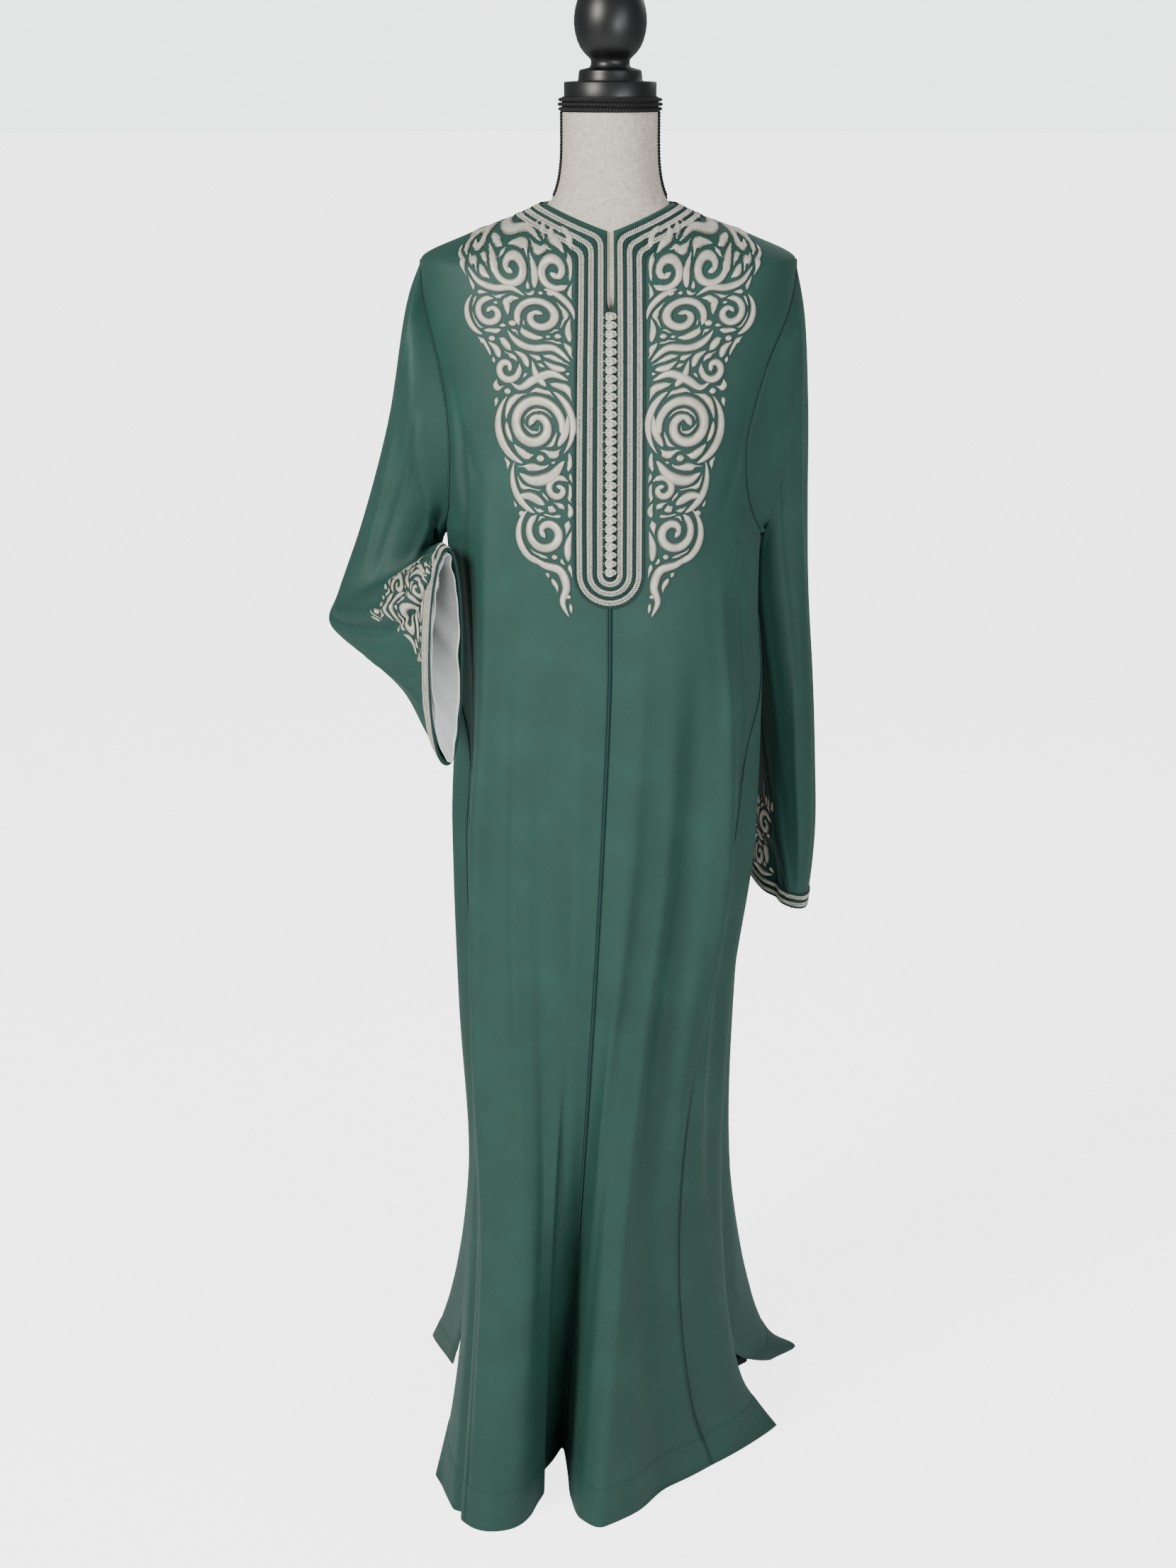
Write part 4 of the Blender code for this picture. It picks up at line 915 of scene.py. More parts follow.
def ramp(material, source, stops):
    """A colour ramp from a value, with its stops as places and colours."""
    added = node(material, "ShaderNodeValToRGB", [("Fac", source)])
    elements = added.color_ramp.elements
    while len(elements) < len(stops):
        elements.new(0.5)
    for element, (place, color) in zip(elements, stops):
        element.position = place
        element.color = color
    return added.outputs["Color"]


def noise(material, size, detail, vector=None):
    """Noise with grains of a real size, on the object's coordinates unless others are given."""
    vector = vector or node(material, "ShaderNodeTexCoord").outputs["Object"]
    return node(material, "ShaderNodeTexNoise",
                [("Vector", vector), ("Scale", 1 / size), ("Detail", detail)]).outputs["Fac"]


def bump(material, height, strength, distance, *under):
    """A bumped normal from a height, on top of another where one is given."""
    return node(material, "ShaderNodeBump",
                [("Height", height), ("Strength", strength), ("Distance", distance)]
                + [("Normal", normal) for normal in under]).outputs["Normal"]


def mapped(material, value, low, high):
    """A value of 0 to 1 as one of low to high."""
    return node(material, "ShaderNodeMapRange",
                [("Value", value), ("To Min", low), ("To Max", high)]).outputs[0]


def feed(material, shader, socket, value):
    material.node_tree.links.new(value, shader.inputs[socket])


def crepe_material(color, shade):
    """Satin-back crepe, piece-dyed: a soft sheen on the ridges over a fine pebbled grain."""
    material, shader = start_material(
        "satin_back_crepe", Roughness=0.65, Sheen_Weight=0.14, Sheen_Roughness=0.4, IOR=1.46)
    shader.inputs["Sheen Tint"].default_value = linear("#7fb0a0")
    # The real grain is about 0.4 mm; it is drawn at 0.9 mm so that a whole-garment view keeps some.
    grain, slub = noise(material, 0.9 * MM, 3.0), noise(material, 55 * MM, 4.0)
    mix = node(material, "ShaderNodeMix", [("Factor", slub), ("A", grain), ("B", slub)])
    feed(material, shader, "Base Color",
         ramp(material, mix.outputs[0], [(0.30, shade), (0.70, color)]))
    feed(material, shader, "Roughness", mapped(material, grain, 0.56, 0.74))
    wide = bump(material, noise(material, 16 * MM, 2.0), 0.10, 1.6 * MM)
    feed(material, shader, "Normal", bump(material, grain, 0.16, 0.12 * MM, wide))
    return material


def satin_material():
    """White acetate lining satin, smooth-woven: a bright, slightly cool sheen."""
    material, shader = start_material(
        "lining_satin", Roughness=0.34, Sheen_Weight=0.2, IOR=1.47)
    feed(material, shader, "Base Color",
         ramp(material, noise(material, 30 * MM, 3.0),
              [(0.3, linear("#eef1f0")), (0.7, linear("#fbfcfb"))]))
    feed(material, shader, "Normal", bump(material, noise(material, 0.8 * MM, 2.0), 0.1, 0.1 * MM))
    return material


def thread_material(name, bright, dull, pitch, metallic=0.25, roughness=0.42):
    """Plied metal thread over a silk core, laid side by side: fine bright lines and dull hollows."""
    material, shader = start_material(name, Metallic=metallic, Roughness=roughness, IOR=1.5)
    fleck = noise(material, pitch, 2.0)
    feed(material, shader, "Base Color", ramp(material, fleck, [(0.36, dull), (0.60, bright)]))
    feed(material, shader, "Normal", bump(material, fleck, 0.35, 0.25 * MM))
    return material


def satin_stitch_material():
    """Padded satin stitch in silver and ecru silk: threads side by side across each scroll."""
    material, shader = start_material(
        "satin_stitch_silk", Metallic=0.25, Roughness=0.36, Sheen_Weight=0.2, IOR=1.5)
    flat = node(material, "ShaderNodeUVMap", uv_map="thread").outputs["UV"]
    # The stitches lie 0.45 mm apart; they are drawn at 1.1 mm so that they still show.
    turned = node(material, "ShaderNodeMapping",
                  [("Vector", flat), ("Rotation", (0, 0, math.radians(24)))])
    lines = node(material, "ShaderNodeTexWave",
                 [("Vector", turned.outputs["Vector"]), ("Scale", 2 * math.pi / (20 * 1.1 * MM)),
                  ("Distortion", 1.2), ("Detail", 1.0), ("Detail Scale", 2.0)],
                 bands_direction="X")
    tone = node(material, "ShaderNodeMix", [("Factor", 0.45), ("A", lines.outputs["Fac"]),
                                            ("B", noise(material, 12 * MM, 3.0))])
    silk = ramp(material, tone.outputs[0],
                [(0.15, linear("#8a8474")), (0.45, linear("#c6c1b1")), (0.8, linear("#efebde"))])
    # Painted shade: the silk is darkened towards the edges of each stroke, where the threads
    # dive under and catch less light.
    edge = node(material, "ShaderNodeAttribute", attribute_name="edge").outputs["Fac"]
    depth = ramp(material, edge, [(0.45, (0.0, 0.0, 0.0, 1.0)), (0.98, (1.0, 1.0, 1.0, 1.0))])
    painted_edge_shade = node(material, "ShaderNodeMix",
                  [("Factor", depth), ("A", silk), ("B", linear("#3f3d33"))], data_type="RGBA")
    feed(material, shader, "Base Color", painted_edge_shade.outputs["Result"])
    feed(material, shader, "Normal", bump(material, lines.outputs["Fac"], 0.5, 0.35 * MM))
    return material


def linen_material():
    """Unbleached linen, plain woven: slubby threads each way, quite dull."""
    material, shader = start_material("unbleached_linen", Roughness=0.88, Sheen_Weight=0.15)
    place = node(material, "ShaderNodeTexCoord").outputs["Object"]
    threads = []
    # Threads lie 0.5 mm apart; they are drawn at 1 mm.
    for stretch in ((1, 1, 0.12), (0.12, 0.12, 1)):
        lie = node(material, "ShaderNodeMapping", [("Vector", place), ("Scale", stretch)])
        threads.append(noise(material, 1.0 * MM, 2.0, lie.outputs["Vector"]))
    weave = node(material, "ShaderNodeMix", [("Factor", 0.5), ("A", threads[0]), ("B", threads[1])])
    feed(material, shader, "Base Color",
         ramp(material, weave.outputs[0], [(0.35, linear("#b0a797")), (0.65, linear("#dfd6c6"))]))
    feed(material, shader, "Normal", bump(material, weave.outputs[0], 0.4, 0.3 * MM))
    return material


def wood_material():
    """Turned beech under black satin paint: a smooth, slightly uneven gloss."""
    material, shader = start_material("black_painted_beech", Roughness=0.42, Coat_Weight=0.1,
                                      Coat_Roughness=0.3)
    wear = noise(material, 18 * MM, 5.0)
    feed(material, shader, "Base Color",
         ramp(material, wear, [(0.4, linear("#050507")), (0.8, linear("#0d0e11"))]))
    feed(material, shader, "Roughness", mapped(material, wear, 0.36, 0.5))
    return material


def floor_material(color):
    """Seamless studio paper, matt, lit through so that it is seen near white."""
    material, shader = start_material("studio_paper", Roughness=0.9)
    seen = node(material, "ShaderNodeLightPath").outputs["Is Camera Ray"]
    glow = node(material, "ShaderNodeMath", [(0, seen), (1, SEEN_GLOW)], operation="MULTIPLY")
    shader.inputs["Emission Color"].default_value = (1.0, 1.0, 1.0, 1.0)
    feed(material, shader, "Emission Strength", glow.outputs[0])
    place = node(material, "ShaderNodeTexCoord").outputs["Object"]
    cloud = node(material, "ShaderNodeTexNoise", [("Vector", place), ("Scale", 1.2)])
    near = tuple(channel * 0.97 for channel in color[:3]) + (1.0,)
    feed(material, shader, "Base Color",
         ramp(material, cloud.outputs["Fac"], [(0.3, near), (0.7, color)]))
    return material


def links_tree():
    """A node tree that sets one link at every vertex of a guide, turned to the cloth and the line."""
    tree = bpy.data.node_groups.new("links_on_a_line", "GeometryNodeTree")
    for name, way, kind in (("Guide", "INPUT", "Geometry"), ("Link", "INPUT", "Object"),
                            ("Thread", "INPUT", "Material"), ("Size", "INPUT", "Float"),
                            ("Trim", "OUTPUT", "Geometry")):
        tree.interface.new_socket(name, in_out=way, socket_type=f"NodeSocket{kind}")
    start = node(tree, "NodeGroupInput").outputs
    shape = node(tree, "GeometryNodeObjectInfo", [("Object", start["Link"])])
    turn = []
    for name, axis, pivot in (("out", "Z", "AUTO"), ("way", "X", "Z")):
        read = node(tree, "GeometryNodeInputNamedAttribute", [("Name", name)],
                    data_type="FLOAT_VECTOR")
        align = node(tree, "FunctionNodeAlignRotationToVector",
                     [("Vector", read.outputs["Attribute"])] + turn, axis=axis, pivot_axis=pivot)
        turn = [("Rotation", align.outputs["Rotation"])]
    put = node(tree, "GeometryNodeInstanceOnPoints",
               [("Points", start["Guide"]), ("Instance", shape.outputs["Geometry"]),
                ("Scale", start["Size"])] + turn)
    solid = node(tree, "GeometryNodeRealizeInstances", [("Geometry", put.outputs["Instances"])])
    paint = node(tree, "GeometryNodeSetMaterial",
                 [("Geometry", solid.outputs["Geometry"]), ("Material", start["Thread"])])
    node(tree, "NodeGroupOutput", [("Trim", paint.outputs["Geometry"])])
    return tree


def shared_tree():
    return bpy.data.node_groups.get("links_on_a_line") or links_tree()


def strung(name, places, outs, ways, link, material, size=1.0):
    """A plain mesh of links, one at each place, made through the node tree."""
    guide_mesh = bpy.data.meshes.new(name + "_guide")
    guide_mesh.from_pydata(placed(places).tolist(), [], [])
    for attribute, values in (("out", outs), ("way", ways)):
        layer = guide_mesh.attributes.new(attribute, "FLOAT_VECTOR", "POINT")
        layer.data.foreach_set("vector", np.asarray(values, np.float32).reshape(-1))
    guide = new_object(name + "_guide", guide_mesh)
    shape = new_object(name + "_link", link)
    modifier = guide.modifiers.new("links", "NODES")
    modifier.node_group = shared_tree()
    settings = {"Link": shape, "Thread": material, "Size": size}
    for item in modifier.node_group.interface.items_tree:
        if item.in_out == "INPUT" and item.name in settings:
            modifier[item.identifier] = settings[item.name]
    graph = bpy.context.evaluated_depsgraph_get()
    mesh = bpy.data.meshes.new_from_object(guide.evaluated_get(graph))
    mesh.name = name
    bpy.data.objects.remove(guide)
    bpy.data.objects.remove(shape)
    mesh.shade_smooth()
    return new_object(name, mesh)


def turned_outwards(mesh, ball=0.0):
    """The mesh with its faces outwards, and with a small ball in it where a radius is given."""
    work = bmesh.new()
    work.from_mesh(mesh)
    if ball:
        bmesh.ops.create_uvsphere(work, u_segments=10, v_segments=6, radius=ball)
    bmesh.ops.recalc_face_normals(work, faces=work.faces)
    work.to_mesh(mesh)
    work.free()
    return mesh


def lofted(name, rings, material, sharp):
    """A smooth piece from rings, with edges sharper than an angle in degrees kept."""
    mesh = closed_loft(name, rings)
    mesh.materials.append(material)
    mesh.shade_smooth()
    mesh.set_sharp_from_angle(angle=math.radians(sharp))
    return new_object(name, mesh)


def tube_faces(rows, columns, joined_up=False):
    """The faces between rings of points, with the last ring joined to the first if asked."""
    return [(row * columns + column, row * columns + (column + 1) % columns,
             (row + 1) % rows * columns + (column + 1) % columns, (row + 1) % rows * columns + column)
            for row in range(rows if joined_up else rows - 1) for column in range(columns)]


def closed_loft(name, rings):
    """A closed mesh from rings of points, filled at its two ends, with its faces outwards."""
    count = len(rings[0])
    points = [tuple(point) for ring in rings for point in ring]
    faces = tube_faces(len(rings), count)
    faces += [tuple(range(count)), tuple(range((len(rings) - 1) * count, len(rings) * count))]
    mesh = bpy.data.meshes.new(name)
    mesh.from_pydata(points, [], faces)
    return turned_outwards(mesh)


def strand_link(name, length, width, height, slant):
    """One strand's visible hump, a slanted grain shape, thicker in its middle."""
    rings = []
    turn = math.radians(slant)
    for share in np.linspace(-1, 1, STRAND_RINGS):
        full = max(math.sqrt(max(1 - share**2, 0)), 0.25)
        middle = share * length / 2
        ring = []
        for angle in np.arange(STRAND_SIDES) * 2 * math.pi / STRAND_SIDES:
            aside = math.cos(angle) * width / 2 * full
            lift = math.sin(angle) * height / 2 * full
            ring.append((middle * math.cos(turn) - aside * math.sin(turn),
                         middle * math.sin(turn) + aside * math.cos(turn), lift))
        rings.append(ring)
    return closed_loft(name, rings)


def joined(name, meshes):
    """One mesh from several."""
    work = bmesh.new()
    for mesh in meshes:
        work.from_mesh(mesh)
    mesh = bpy.data.meshes.new(name)
    work.to_mesh(mesh)
    work.free()
    return mesh


def shifted(mesh, offset):
    for vertex in mesh.vertices:
        vertex.co += Vector(offset)
    return mesh


def sew_body(settings):
    """The two fronts, the back and the four gores, each lined with satin."""
    crepe, satin = crepe_material(settings.crepe, settings.crepe_shade), satin_material()
    tall = rows_between(NECKLINE, HEM)
    low = rows_between(GORE_TOP - GAP, HEM)
    made = {
        "front_left": (tall, slit_turns(tall, -1), seam_turns(SIDE_LEFT_FRONT, tall, 1),
                       FRONT_FINE, False),
        "front_right": (tall, slit_turns(tall, 1), seam_turns(SIDE_RIGHT_FRONT, tall, -1),
                        FRONT_FINE, False),
        "back": (tall, seam_turns(SIDE_RIGHT_BACK, tall, 1, True),
                 seam_turns(SIDE_LEFT_BACK, tall, -1, True), BACK_FINE, True),
        "gore_front_left": (low, side_turns(low, -90, 1), seam_turns(SIDE_LEFT_FRONT, low, -1),
                            GORE_FINE, False),
        "gore_front_right": (low, seam_turns(SIDE_RIGHT_FRONT, low, 1), side_turns(low, 90, -1),
                             GORE_FINE, False),
        "gore_back_right": (low, side_turns(low, 90, 1, True),
                            seam_turns(SIDE_RIGHT_BACK, low, -1, True), GORE_FINE, True),
        "gore_back_left": (low, seam_turns(SIDE_LEFT_BACK, low, 1, True),
                           side_turns(low, 270, -1, True), GORE_FINE, True),
    }
    for name, (rows, first, last, columns, rear) in made.items():
        obj = panel(f"{name}_cloth", rows, first, last, columns, BODY_CREASES, rear, crepe, satin)
        finished(obj, "crepe", name)


def side_turns(rows, turn, side, rear=False):
    """The turns of a seam at one or several turns, moved half a seam gap to one side."""
    turns = np.broadcast_to(np.asarray(turn, float), (len(rows),))
    return turns + side * degrees_of(SEAM_GAP / 2, turns, rows, rear)


def fold_dents(rings, creases, size):
    """How far a sleeve's creases stand out, over its rows and round it."""
    along = np.linspace(0, 1, len(rings))[:, None]
    around = np.arange(rings.shape[1])[None, :] / rings.shape[1]
    long, wide = size
    out = np.zeros(rings.shape[:2])
    for crease in creases:
        down = (crease.end_along - crease.along) * long
        across = (crease.end_around - crease.around) * wide
        reach = math.hypot(down, across)
        x = (along - crease.along) * long
        turn = around - crease.around
        y = (turn - np.round(turn)) * wide
        share = (x * down + y * across) / reach**2
        aside = (y * down - x * across) / reach - crease.bow * 4 * share * (1 - share)
        ends = np.sin(np.clip(share, 0, 1) * math.pi) ** 0.7 * ((share > 0) & (share < 1))
        out += crease.depth * MM * np.exp(-(aside / crease.width) ** 2) * ends
    return out


def sleeve_cloth(side):
    """A sleeve's creased outer points and its normals."""
    rings, normals = sleeve_grid(side)
    dents = fold_dents(rings, SLEEVE_CREASES[side], SLEEVE_SIZES[side])
    dents *= ease(np.linspace(0, 1, len(rings)) / 0.06)[:, None]
    return rings + normals * dents[..., None], normals


def set_sleeves(settings):
    """Both sleeves, crepe inside as outside, and the satin that shows in the open cuffs."""
    crepe = bpy.data.materials["satin_back_crepe"]
    satin = bpy.data.materials["lining_satin"]
    for side in ("left", "right"):
        outer, normals = sleeve_cloth(side)
        obj = cloth(f"sleeve_{side}_cloth", outer, normals, WALL, crepe, crepe, closed=True)
        finished(obj, "crepe", f"sleeve_{side}")
        near = slice(len(outer) - LINING_FROM, None)
        around = np.arange(outer.shape[1]) / outer.shape[1] * 2 * math.pi
        drawn = np.sin(7 * around) + 0.7 * np.sin(12 * around + 1.3) + 0.5 * np.sin(19 * around + 0.4)
        ripple = 1.1 * MM * (drawn + 1.8)[None, :, None]
        face = outer[near] - (WALL + 1.2 * MM + ripple) * normals[near]
        lining = cloth(f"cuff_lining_{side}_cloth", face, normals[near], 0.8 * MM, satin, satin,
                       closed=True)
        finished(lining, "satin", f"cuff_lining_{side}")


def up_from_cuff(rings, values, distance):
    """Values at a distance up the sleeve from the cuff's edge, along each line of points."""
    return np.array([at_lengths(distance, lengths_along(rings[::-1, column]), values[::-1, column])
                     for column in range(rings.shape[1])])


def herringbone_link(pitch, width):
    """One chevron of a flat braid: two slanted strands that meet in its middle."""
    strands = []
    for side in (-1, 1):
        strand = strand_link("strand", width * 0.66, pitch * 0.92, 1.5 * MM, 0)
        turn = side * math.radians(52)
        for vertex in strand.vertices:
            x, y, z = vertex.co
            vertex.co = (x * math.cos(turn) - y * math.sin(turn),
                         x * math.sin(turn) + y * math.cos(turn) + side * width * 0.235, z)
        strands.append(strand)
    return joined("chevron", strands)


def braid(name, points, normals, width, material, nodes):
    """A herringbone braid along a closed line on the cloth."""
    pitch = width * 0.36
    places, outs, ways = spaced(points, normals, pitch, closed=True)
    obj = strung(name, places + outs * BRAID_LIFT, outs, ways,
                 herringbone_link(pitch, width), material)
    return finished(obj, "silver_thread", *nodes)


def lay_braids(settings):
    """Three silver braids round the neck and slit, and two round each cuff."""
    silver = thread_material("silver_braid", settings.silver, settings.silver_shade, 0.8 * MM)
    for place, offset in BRAID_OFFSETS.items():
        points, normals = closed_band(offset)
        braid(f"neck_braid_{place}_plaited", points, normals, BRAID_WIDTH, silver,
              [f"neck_braid_{place}"])
    for side in ("left", "right"):
        outer, normals = sleeve_cloth(side)
        for place, start in CUFF_BRAIDS.items():
            middle = start + CUFF_BRAID_WIDTH / 2
            line = up_from_cuff(outer, outer, middle)
            outs = unit(up_from_cuff(outer, normals, middle))
            braid(f"cuff_braid_{side}_{place}_plaited", line, outs, CUFF_BRAID_WIDTH, silver,
                  [f"cuff_braid_{side}_{place}"])


def cord_along(name, points, normals, size, material, closed=False):
    """A twisted silk cord couched along a line: slanted strands one after another."""
    pitch = size * CORD_PITCH
    places, outs, ways = spaced(points, normals, pitch, closed)
    link = strand_link("twist", size * 1.25, size * 0.62, size * 0.85, 34)
    obj = strung(name, places + outs * size * CORD_LIFT, outs, ways, link, material)
    return finished(obj, "crepe")


def couch_cords(settings):
    """Twisted cords on the seams, between the neck braids and round the cuffs."""
    dark = thread_material("sea_green_silk_cord", settings.cord, settings.cord_shade, 0.7 * MM,
                           metallic=0.0, roughness=0.5)
    down = rows_between(BRAID_TURN_HEIGHT - 0.033, HEM + 2 * MM, 8 * MM)
    cord_along("centre_front_cord", body(np.zeros(len(down)), down),
               body_normal(np.zeros(len(down)), down), CENTRE_CORD, dark)
    low = rows_between(GORE_TOP, HEM + 2 * MM, 8 * MM)
    for rear, place in enumerate(("front", "back")):
        for side, seams in SIDE_SEAMS.items():
            turns = column_at(seams[rear], "turn", low)
            cord_along(f"gore_seam_{place}_{side}_cord", body(turns, low, bool(rear)),
                       body_normal(turns, low, bool(rear)), FINE_CORD, dark)
    fine = np.linspace(ARM_ROWS[0], ARM_ROWS[-1], 80)
    for side, seams in SIDE_SEAMS.items():
        points, normals = armhole(*seams, fine)
        cord_along(f"armhole_{side}_cord", points, normals, ARMHOLE_CORD, dark, closed=True)
    for name, offset in NECK_CORDS.items():
        points, normals = closed_band(offset)
        cord_along(f"neck_{name}_cord", points, normals, NECK_CORD, dark, closed=True)
    for side in ("left", "right"):
        outer, normals = sleeve_cloth(side)
        for name, distance in CUFF_CORDS.items():
            line = up_from_cuff(outer, outer, distance)
            cord_along(f"cuff_{side}_{name}_cord", line, unit(up_from_cuff(outer, normals, distance)),
                       FINE_CORD, dark, closed=True)
        # The sleeve's corded seam, which turns forward towards the cuff on the right.
        along = np.linspace(0, 1, len(outer))
        share = np.interp(along, (0, 0.6, 0.8, 1), SEAM_SHARES[side])
        column = np.round(share * outer.shape[1]).astype(int) % outer.shape[1]
        row = np.arange(len(outer))
        cord_along(f"sleeve_{side}_seam_cord", outer[row, column][2:], normals[row, column][2:],
                   FINE_CORD, dark)


def stitch_hem(settings):
    """The turned-up hem's blind stitches, a fine row above the edge all round the skirt."""
    thread = bpy.data.materials["sea_green_silk_cord"]
    stitch = strand_link("stitch", 2.6 * MM, 0.9 * MM, 0.7 * MM, 12)
    for name, rear, first, last in (("front", False, -90, 90), ("back", True, 90, 270)):
        turns = np.linspace(first + 0.6, last - 0.6, 160)
        level = np.full(len(turns), HEM_LINE)
        normals = body_normal(turns, level, rear)
        line = body(turns, level, rear) + normals * soft_dents(turn=turns, height=level,
                                                               creases=BODY_CREASES)[:, None]
        places, outs, ways = spaced(line, normals, 5 * MM)
        finished(strung(f"hem_stitches_{name}", places + outs * 0.2 * MM, outs, ways, stitch, thread),
                 "crepe")


def knot_mesh():
    """A round braided knot: one strand that passes three times round, over and under itself."""
    strand, tube = 54, 6
    share = np.arange(strand) / strand * 2 * math.pi
    around, wave = 2 * share, 3 * share
    radius = 0.36 + 0.15 * np.cos(wave)
    height = 0.14 * np.sin(wave)
    line = np.stack([radius * np.cos(around) * 9.6 * MM, radius * np.sin(around) * 7.4 * MM,
                     height * 9 * MM], axis=-1)
    way = unit(np.roll(line, -1, axis=0) - np.roll(line, 1, axis=0))
    aside = unit(np.cross(way, np.array([0, 0, 1.0])))
    lift = np.cross(aside, way)
    angle = np.arange(tube) * 2 * math.pi / tube
    rings = (line[:, None] + 1.25 * MM * (aside[:, None] * np.cos(angle)[None, :, None]
                                          + lift[:, None] * np.sin(angle)[None, :, None]))
    mesh = bpy.data.meshes.new("knot")
    mesh.from_pydata(rings.reshape(-1, 3).tolist(), [], tube_faces(strand, tube, True))
    return turned_outwards(mesh, KNOT_CORE)


def tie_buttons(settings):
    """The knotted buttons down the front, and the short loops that hold them."""
    silver = bpy.data.materials["silver_braid"]
    heights, lengths = lengths_below_neck(0.0)
    ends = np.interp([-BUTTON_TOP, -BUTTON_FOOT], -heights, lengths)
    at = np.interp(np.linspace(*ends, BUTTONS), lengths, heights)
    points, normals = signed_body(np.zeros(BUTTONS), at)
    ways = np.tile([1.0, 0.0, 0.0], (BUTTONS, 1))
    knots = strung("knotted_buttons", points + normals * 3.0 * MM, normals, ways, knot_mesh(), silver)
    finished(knots, "silver_thread", *[f"button_{index + 1:02d}" for index in range(BUTTONS)])
    loop = joined("loop", [shifted(strand_link("shank", 7 * MM, 1.8 * MM, 1.4 * MM, 0),
                                   (side * 4.2 * MM, 0, 0)) for side in (-1, 1)])
    loops = strung("button_loops", points + normals * 0.9 * MM, normals, ways, loop, silver)
    finished(loops, "silver_thread")


def turned(name, profile, material, steps):
    """A turned shape round the post from radii and heights, from its foot to its top."""
    angle = np.arange(steps) * 2 * math.pi / steps
    rings = [placed(np.stack([radius * np.cos(angle), radius * np.sin(angle),
                              np.full(steps, height)], axis=-1)) for radius, height in profile]
    return lofted(name, rings, material, 38)


def curve_through(places, step):
    """Even places along a smooth curve through a few, on the flat."""
    keys = np.array(places, float)
    lengths = lengths_along(keys)
    slopes = np.gradient(keys, lengths, axis=0) if len(keys) > 2 else np.diff(keys, axis=0)[[0, 0]]
    if len(keys) == 2:
        slopes = slopes / lengths[-1]
    at = np.linspace(0, lengths[-1], max(int(lengths[-1] / step), 4))
    index = np.clip(np.searchsorted(lengths, at, side="right") - 1, 0, len(keys) - 2)
    gap = (lengths[index + 1] - lengths[index])[:, None]
    return eased_between(keys[index], keys[index + 1], (at - lengths[index])[:, None] / gap,
                         gap * slopes[index], gap * slopes[index + 1])


def scroll_line(scroll):
    """A spiral that winds in, with its width, and a fuller end in its eye."""
    steps = max(int(scroll.turns * 2 * math.pi * scroll.radius * 0.6 / STITCH_STEP), 16)
    share = np.linspace(0, 1, steps)
    angle = np.radians(scroll.start) + scroll.way * share * scroll.turns * 2 * math.pi
    radius = scroll.radius * (1 - share) ** 0.85 + scroll.radius * 0.13
    line = np.stack([scroll.across + radius * np.cos(angle), scroll.height + radius * np.sin(angle)],
                    axis=-1)
    width = scroll.width * (0.42 + 0.58 * np.sin(math.pi * np.clip(share * 0.9 + 0.12, 0, 1)) ** 0.8)
    width = np.where(share > 0.82, scroll.width * (0.55 + 1.2 * (share - 0.82)), width)
    width[0], width[1] = scroll.width * 0.14, scroll.width * 0.34
    return line, width


def leaf_line(leaf):
    """A bowed leaf, pointed at its tip."""
    start, end = np.array([leaf.across, leaf.height]), np.array([leaf.end_across, leaf.end_height])
    way = end - start
    aside = np.array([-way[1], way[0]]) / np.linalg.norm(way) * leaf.bow
    line = curve_through((start, (start + end) / 2 + aside, end), STITCH_STEP)
    share = np.linspace(0, 1, len(line))
    return line, leaf.width * np.clip(np.sin(math.pi * share**0.72) ** 0.75, 0.10, 1)


def stem_line(stem):
    """A curling stem, thin at both its ends."""
    line = curve_through(stem.places, STITCH_STEP)
    share = np.linspace(0, 1, len(line))
    return line, stem.width * np.clip(np.sin(math.pi * share) ** 0.6, 0.14, 1)


def dot_line(dot):
    """A round dot as one short stroke."""
    share = np.linspace(-1, 1, 7)
    line = np.stack([dot.across + share * dot.size / 2, np.full(7, float(dot.height))], axis=-1)
    return line, dot.size * np.sqrt(np.clip(1 - share**2, 0.03, 1))


def arc_line(arc):
    """An arc that tapers to both its ends, like a long comma."""
    steps = max(int(math.radians(abs(arc.sweep)) * arc.radius / STITCH_STEP), 8)
    share = np.linspace(0, 1, steps)
    angle = np.radians(arc.start + arc.sweep * share)
    line = np.stack([arc.across + arc.radius * np.cos(angle), arc.height + arc.radius * np.sin(angle)],
                    axis=-1)
    return line, arc.width * np.clip(np.sin(math.pi * share**0.8) ** 0.7, 0.12, 1)


def nearest_stroke(grid, lines, room, way):
    """Brings the free room at each place of a grid up to date with some strokes beside it."""
    for line, width in lines:
        along = np.gradient(line, axis=0)
        near = np.flatnonzero(((grid > line.min(axis=0) - FILL_SIGHT)
                               & (grid < line.max(axis=0) + FILL_SIGHT)).all(axis=1))
        away = np.linalg.norm(grid[near][:, None] - line[None], axis=2) - width / 2
        index = away.argmin(axis=1)
        found = away[np.arange(len(near)), index]
        closer = found < room[near]
        room[near[closer]] = found[closer]
        way[near[closer]] = unit(along[index[closer]])


